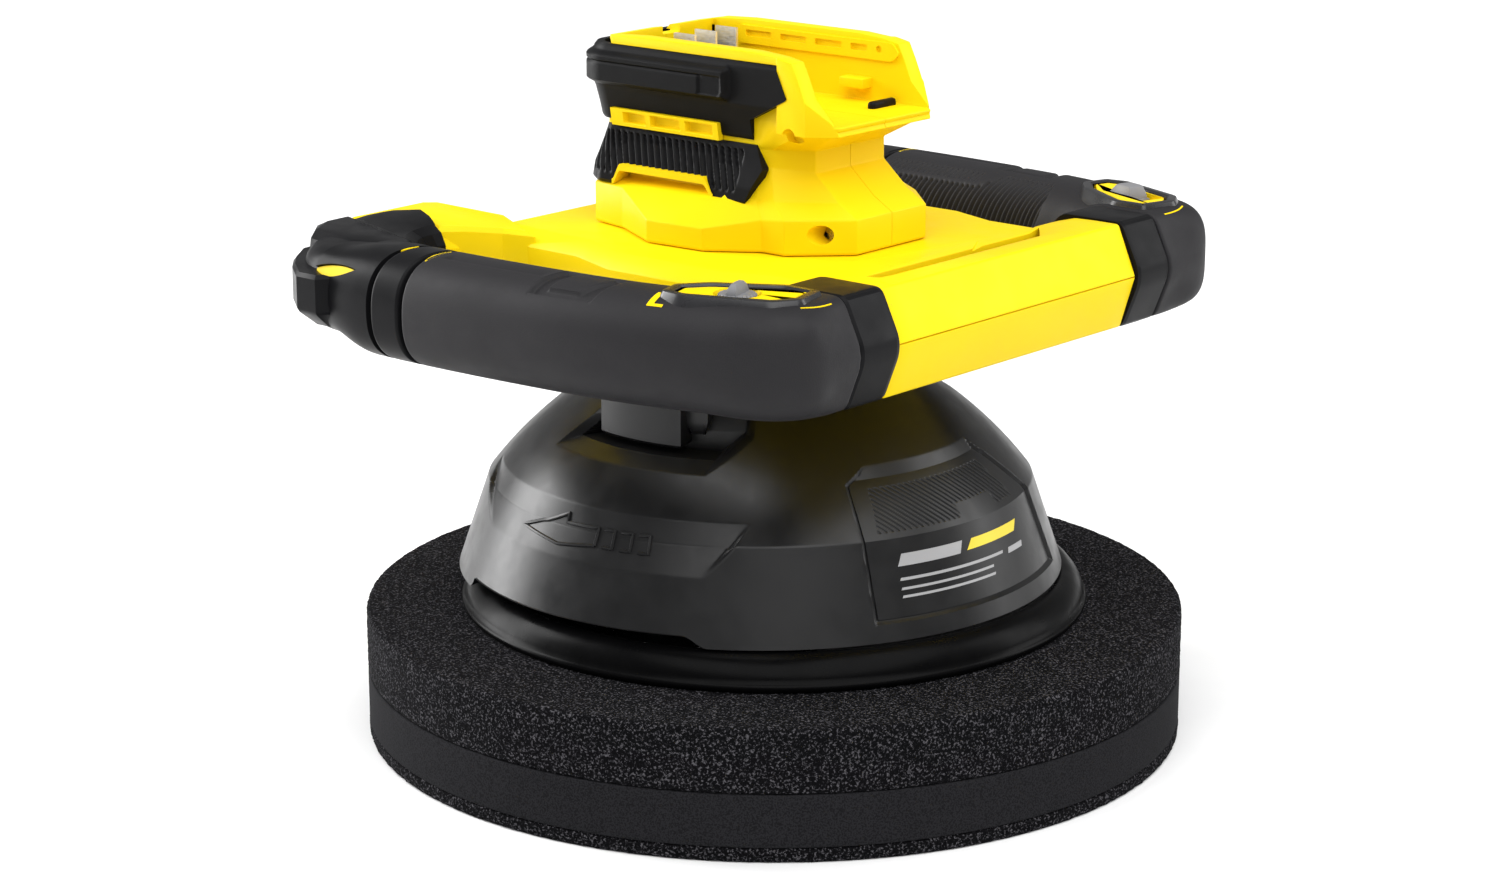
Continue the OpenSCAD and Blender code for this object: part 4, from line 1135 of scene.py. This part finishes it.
def build_dial():
    """Knurled speed dial with a raised pointer."""
    steps, teeth = 144, 24
    a = full_turn(steps)
    r = 5.3 + 0.18 * np.clip(2.5 * np.cos(a * teeth), -1, 1)

    def ring(z, drop):
        return np.stack([TRAY_CENTRE[0] + (r - drop) * np.cos(a), TRAY_CENTRE[1] + (r - drop) * np.sin(a),
                         np.full(steps, z)], -1)

    dial = loft("speed_dial_form", [ring(TRAY_Z + 0.3, 0.4), ring(TRAY_Z + 0.6, 0), ring(161.4, 0),
                                    ring(161.9, 0.5)])
    pointer = [in_tray([(-1.5 * w, -4.6 * h), (1.5 * w, -4.6 * h), (1.9 * w, 0), (1.5 * w, 4.6 * h),
                        (-1.5 * w, 4.6 * h), (-1.9 * w, 0)])
               for w, h in ((1, 1), (1, 1), (0.8, 0.82), (0.45, 0.6))]
    plus(dial, loft("pointer", [level(p, z) for p, z in zip(pointer, (160.5, 162.2, 163.8, 164.8))]))
    plus(dial, revolve_solid("stem", [(2.0, 151.8), (2.0, 160)], TRAY_CENTRE, 32))
    present(dial, "speed_dial", "knob_grey", ["speed_dial"], sharp=30)


def build_slider():
    """Power slider: a low base under a ridged, peaked thumb piece."""
    def rings(*sizes):
        return [level([(x, -y) for x, y in in_tray(oblong(*size))], z) for *size, z in sizes]

    base = loft("power_slider_form", rings((-6.2, 6.2, 3.9, TRAY_Z + 0.2), (-6.2, 6.2, 3.9, 160.6)))
    peak = loft("peak", rings((-5.6, 5.6, 3.3, 160.2), (-5.4, 5.4, 3.2, 161.6), (-2.6, 4.2, 2.7, 164.2),
                              (-1.6, 3.2, 2.3, 164.6)))
    plus(eased(base, 0.3, 2), eased(peak, 0.25, 2))
    plus(base, loft("foot", rings((-1.5, 1.5, 1.4, 153.4), (-1.5, 1.5, 1.4, 160))))
    present(base, "power_slider", "knob_grey", ["power_slider"], sharp=30)


# ------------------------------------------------------------------ battery tower

FOOT = [(-42, -29, 169.3), (-28, -32, 169.3), (-8.5, -42.7, 163.6), (12.5, -41.4, 163.6),
        (27, -31.6, 166.5), (35.5, -31.4, 167.3), (51, -16.4, 167.3)]
FOOT_TOP = [(-40.6, -27.4, 170.4), (-29, -28.6, 170.6), (-7.4, -32.5, 170.8), (10.5, -32.2, 170.8),
            (22.5, -28.4, 171.5), (29, -28, 171.6), (44, -16.3, 171.4)]
NECK_FOOT = [(-40, -24.6, 171.2), (-28, -24.7, 171.6), (-8, -24.7, 172), (12, -24.7, 172.5),
              (20, -24.7, 181), (24, -23, 180.6), (35, -16.2, 179.3)]
NECK = [(-40, -24.6), (-27, -24.7), (-8, -24.7), (12, -24.7), (20, -24.6), (24, -23), (35, -16.2)]
FLARE = [(-40, -24.6), (-27, -24.7), (-8, -24.7), (12, -24.7), (26, -24.7), (40.2, -27.2), (47.8, -21.6)]
HEAD = [(-40, -24.6), (-27, -24.7), (-8, -24.7), (12, -24.7), (26, -24.7), (40.6, -27.5), (48.3, -21.6)]
BAY_FLOOR = 195.0
BAY_WALL_OUT = 24.7
BAY_WALL_IN = 22.2
RIM_OUT = 27.0
BAY_REAR = -38.4
SCREW_HOLES = [(43.2, 163, 2.9, 12), (34.2, 191.5, 2.5, 22.4)]  # x, z, radius and bottom y
WALL_SIDE = [(-44.6, 192), (-44.6, 211.4), (-42.6, 213.4), (-36, BAY_TOP - 0.6), (-24, BAY_TOP),
             (20, BAY_TOP), (30, BAY_TOP - 0.8), (35.2, BAY_TOP - 1.8), (37.6, 208.4), (40.2, 202.4),
             (46.4, 196.2), (48.4, 192)]


def tower_rings():
    """Sections of the tower from its foot up to the bay's floor."""
    foot = both_sides(FOOT)
    base = drawn_in([(x, y) for x, y, _ in foot], 0.7)
    rings = [level(base, TOWER_LOW), level(foot, TOWER_LOW + 0.7), foot,
             both_sides(FOOT_TOP), both_sides(NECK_FOOT)]
    return rings + [level(both_sides(half), z) for half, z in
                    ((NECK, 186.0), (FLARE, 193.4), (HEAD, 194.2), (HEAD, BAY_FLOOR))]


def bay_plan(half, rear, corner):
    """Outline of the bay's walls: rounded off behind, and widening to the head in front."""
    return both_sides([(rear, -half + corner), (rear + corner, -half), (28.8, -half), (29.6, -27.9),
                       (40.6, -27.9), (48.2, -21.6)])


def tower_block():
    """The whole tower, solid but for its battery bay."""
    tower = eased(loft("tower", tower_rings()), 0.5, 3, 12)
    wall = column("wall", bay_plan(BAY_WALL_OUT, -42.4, 7), BAY_FLOOR - 3, BAY_TOP)
    rim = column("rim", bay_plan(RIM_OUT, -44.4, 8), 211.9, BAY_TOP)
    bay = block("bay", (BAY_REAR, -BAY_WALL_IN, BAY_FLOOR), (80, BAY_WALL_IN, 240))
    walls = minus(plus(wall, rim), bay)
    combine(walls, [run_along_y("side_view", WALL_SIDE, -40, 40)], "INTERSECT")
    eased(walls, 0.6, 3, 25)
    return plus(tower, walls)


def circle(x, z, r, points):
    """Round outline in X and Z."""
    return [(x + r * math.cos(a), z + r * math.sin(a)) for a in full_turn(points)]


def bay_fittings():
    """Rails with their slots and a hole, and a catch below each."""
    found = []
    for side in (-1, 1):
        y = sorted((side * 21.3, side * 22.6))
        rail = run_along_y("rail", softened([(-27, 207.6), (33.5, 207.6), (36.2, 210.2), (33.5, 213.2),
                                             (-27, 213.2)], 1.2, 3), *y)
        for x0, x1 in ((-24.2, -13.9), (-10.3, 0), (3.5, 14), (17.5, 23.9)):
            minus(rail, block("slot", (x0, y[0] - 1, 209.9), (x1, y[1] + 1, 211.9), 0.4))
        minus(rail, run_along_y("hole", circle(28.4, 211, 1.1, 12), y[0] - 1, y[1] + 1))
        y = sorted((side * 17.6, side * 22.6))
        found += [rail, block("catch", (16, y[0], 198.8), (25.4, y[1], 202), 0.5)]
    return found


def build_tower():
    """Right and left tower shells, split along the mirror plane."""
    tower = plus(tower_block(), *bay_fittings())
    inner = [[(x * 0.9, y * 0.86, z) for x, y, *_ in both_sides(half)] for half, z in
             ((FOOT, TOWER_LOW - 1), (FOOT, 162), (NECK, 172), (NECK, 191))]
    minus(tower, loft("inside", inner))
    for x, z, r, bottom in SCREW_HOLES:
        for y in ((-60, -bottom), (bottom, 60)):
            minus(tower, run_along_y("hole", circle(x, z, r, 36), *y))
    minus(tower, block("notch", (-46, -1.5, 211.5), (-38, 6.5, 220), 0.4),
          block("rear_slot", (-46, -12, 160), (-40, 12, 165), 0.6))
    left = twin(tower, "tower_left_shell_form")
    tower.name = "tower_right_shell_form"
    minus(tower, block("half", (-120, -0.1, 90), (120, 120, 260)))
    minus(left, block("half", (-120, -120, 90), (120, 0.1, 260)))
    for obj, node in ((tower, "tower_right_shell"), (left, "tower_left_shell")):
        present(obj, "housing", "yellow_plastic", [node], sharp=24)
    latch = block("battery_latch", (33.2, 9.5, 194), (36.0, 21.2, 197.2), 1.2)
    present(latch, "housing", "black_plastic")


# Trim that wraps round each side of the tower. A place on it is a distance back from the
# corner's start (minus: along the side, plus: round the corner and along the rear) and a height.
TRIM_BASE = 24.9
TRIM_CORNER_X = -38.0
TRIM_RADIUS = 7.0
TRIM_REAR = 17.9
TRIM_END = TRIM_RADIUS * math.pi / 2 + TRIM_REAR
GRILLE_DRAWN_IN = 2.8


def round_trim(d, z, out):
    """Points round the tower's side and rear, out millimetres off its wall."""
    d, z, out = np.broadcast_arrays(np.asarray(d, float), np.asarray(z, float), np.asarray(out, float))
    arc = TRIM_RADIUS * math.pi / 2
    angle = np.clip(d / TRIM_RADIUS, 0, math.pi / 2)
    r = TRIM_RADIUS + out
    x = TRIM_CORNER_X - np.minimum(d, 0) - r * np.sin(angle)
    y = -(TRIM_BASE - TRIM_RADIUS) - r * np.cos(angle) + np.maximum(d - arc, 0)
    return np.stack([x, y, z], -1)


def between(heights, values):
    """A function of height that runs straight from each value to the next."""
    return lambda z: np.interp(z, heights, values)


def trim_piece(name, front, bottom, top, relief, back, size, end=TRIM_END):
    """Closed solid on the trim surface: front(z) to end, bottom(d) to top(d), relief(d, z) thick."""
    u, v = np.linspace(0, 1, size[0])[:, None], np.linspace(0, 1, size[1])
    start = TRIM_CORNER_X - front(bottom(0) + (top(0) - bottom(0)) * v)
    d = start * (1 - u) + end * u
    z = bottom(d) + (top(d) - bottom(d)) * v
    points = np.vstack([round_trim(d, z, out).reshape(-1, 3) for out in (relief(d, z), back)])
    return make(name, points, closed_sheet(*size))


def side_x(d):
    """X along the tower's side for a place on the trim."""
    return TRIM_CORNER_X - np.minimum(d, 0)


def bumper_relief(d, z):
    """Skirt, then the raised bumper band with a second raised line and an end patch."""
    x = side_x(d)
    skirt = np.interp(z, [188.6, 189.4, 193, 198.2, 199.2, 210.6, 211.8],
                      [0.3, 0.9, 1.6, 2.9, 3.3, 3.3, 2.3])
    under_vent = plateau(x, -37.4, -37, 6, 6.4) * (1 - ramp(z, 192.0, 192.6))
    skirt = skirt * (1 - under_vent) + 0.15 * under_vent
    band = plateau(z, 199.2, 201.0, 208.2, 210.4) * (1 - ramp(x, 10.6, 12.2))
    groove = np.exp(-((z - 206.6) / 0.35) ** 2) * (1 - ramp(x, 0.5, 3)) * 0.5
    patch = plateau(x, 1.0, 1.6, 9.6, 10.2) * plateau(z, 200.8, 201.4, 206.6, 207.2)
    grain = 0.12 * np.cos(2 * math.pi * (x + z) / 1.1) * np.cos(2 * math.pi * (x - z) / 1.1)
    return skirt + 2.4 * band - groove - patch * (0.45 + grain)


def grille_relief(d, z):
    """Slanting ribs on a band that flares out towards the tower's foot."""
    flare = np.interp(z, [169.8, 170.8, 175, 184.6, 187.2], [5.2, 6.1, 5.4, 1.6, 0.6])
    field = plateau(z, 173.2, 174.2, 184.6, 185.6) * (1 - ramp(side_x(d), 14.5, 16.5))
    return flare - 1.1 * np.clip(1.8 * wave((0.45 * (z - 170) - d) / 2.6) - 0.4, 0, 1) * field


def vent_relief(d, z):
    """Yellow insert with three deep slots."""
    x = side_x(d)
    slots = plateau(z, 188.2, 188.7, 191.2, 191.7) * sum(
        plateau(x, a, a + 0.6, b - 0.6, b) for a, b in ((-31.5, -22.5), (-20.5, -8.5), (-6.5, 4.5)))
    return 2.6 + np.interp(z, [187, 192.4], [-0.5, 0.4]) - 1.9 * slots


def arch(d):
    """Rise of the grille's lower edge over the arched slot in the tower's foot."""
    return plateau(side_x(d), -33, -29.5, 3.5, 8)


def build_trim():
    """Bumper, vent insert and intake grille on both sides, and the trim round the arched slot."""
    bumper = trim_piece("right_bumper_form",
                        between([188.6, 194.7, 202.3, 211.9], [18.6, 18.6, 33.6, 29.0]),
                        always(188.6), always(211.8), bumper_relief, 0.05, detail((300, 46), (150, 24)))
    grille = trim_piece("right_intake_grille_form",
                        between([170, 173.9, 180.6, 187.2], [19.5, 21.2, 24.4, 20.0]),
                        lambda d: 169.9 + 6.2 * arch(d), always(187.2), grille_relief, 0.05,
                        detail((520, 34), (260, 24)))
    vent = trim_piece("right_vent_insert_form", always(6.6), always(187.2), always(192.5),
                      vent_relief, 0.3, (220, 30), end=-1.6)
    lining = trim_piece("right_arch_trim", always(7.5), lambda d: 169.9 + 4.4 * arch(d),
                        lambda d: 171.4 + 5.0 * arch(d), always(6.3), 0.4, (120, 6), end=-5.0)
    for v in grille.data.vertices:  # the flared rear is drawn in, to stay clear of the frame's end
        v.co.x += GRILLE_DRAWN_IN * MM * ramp(-v.co.x / MM, 35, 46)
    present_pair(bumper, "bumper_rubber", "bumper", 30)
    present_pair(grille, "black_plastic", "intake_grille", 30)
    present_pair(vent, "yellow_plastic", "vent_insert", 30)
    present_pair(lining, "yellow_plastic", sharp=30)


# ------------------------------------------------------------------ floor, light and camera

FLOOR_HALF = 4000
LENS = 85.5
CAMERA_PLACE = (0.6915, -0.8147, 0.377)
CAMERA_DOWN = 15.11
CAMERA_TURN = 40.5


def build_floor():
    """Pale floor, far wider than the picture."""
    corners = [(x * FLOOR_HALF, y * FLOOR_HALF, 0) for x, y in ((-1, -1), (1, -1), (1, 1), (-1, 1))]
    floor = make("floor", corners, [(0, 1, 2, 3)])
    floor.data.materials.append(plastic("pale_floor", (0.86, 0.86, 0.86), 0.7, grain=3.0, depth=0.02,
                                        mottle=0.01, specular=0.2))


def build_light():
    """A dim even surround, one broad soft light from above and two softboxes at the sides."""
    world = bpy.data.worlds.new("studio")
    SCENE.world = world
    world.use_nodes = True
    surround = world.node_tree.nodes["Background"]
    surround.inputs["Color"].default_value = (1, 1, 1, 1)
    surround.inputs["Strength"].default_value = 0.3
    SCENE.view_settings.view_transform = "Standard"
    sun = bpy.data.lights.new("sky_light", "SUN")
    sun.energy = 3.5
    sun.angle = math.radians(80)
    placed(sun, (0, 0, 0), Vector((-0.42, 0.3, -1)))
    softbox("left_rim_light", (-1.0, -0.35, 0.45), (0, 0, 0.1), 14)
    softbox("right_rim_light", (0.75, 0.95, 0.6), (0, 0, 0.12), 5)


def placed(light, place, direction):
    """Sets a light in the scene, shining in a direction."""
    obj = linked(light.name, light)
    obj.location = place
    obj.rotation_euler = direction.to_track_quat("-Z", "Y").to_euler()


def softbox(name, place, aim, watts):
    """Upright rectangular light at a place, aimed at a point."""
    light = bpy.data.lights.new(name, "AREA")
    light.shape = "RECTANGLE"
    light.size, light.size_y = 0.5, 0.9
    light.energy = watts
    placed(light, place, Vector(aim) - Vector(place))


def build_camera():
    """The camera stands at the right-hand front corner, a little above the tool."""
    camera = bpy.data.cameras.new("camera")
    camera.lens = LENS
    camera.sensor_width = 36
    obj = linked("camera", camera)
    obj.location = CAMERA_PLACE
    obj.rotation_euler = (math.radians(90 - CAMERA_DOWN), 0, math.radians(CAMERA_TURN))
    SCENE.camera = obj


dress_cad_nodes()
for build in (build_pad, build_backing_plate, build_shroud, build_label, build_grips, build_collars,
              build_guard, build_cap, build_frame, build_sleeves, build_bezels, build_dial, build_slider,
              build_tower, build_trim, build_floor, build_light, build_camera):
    build()
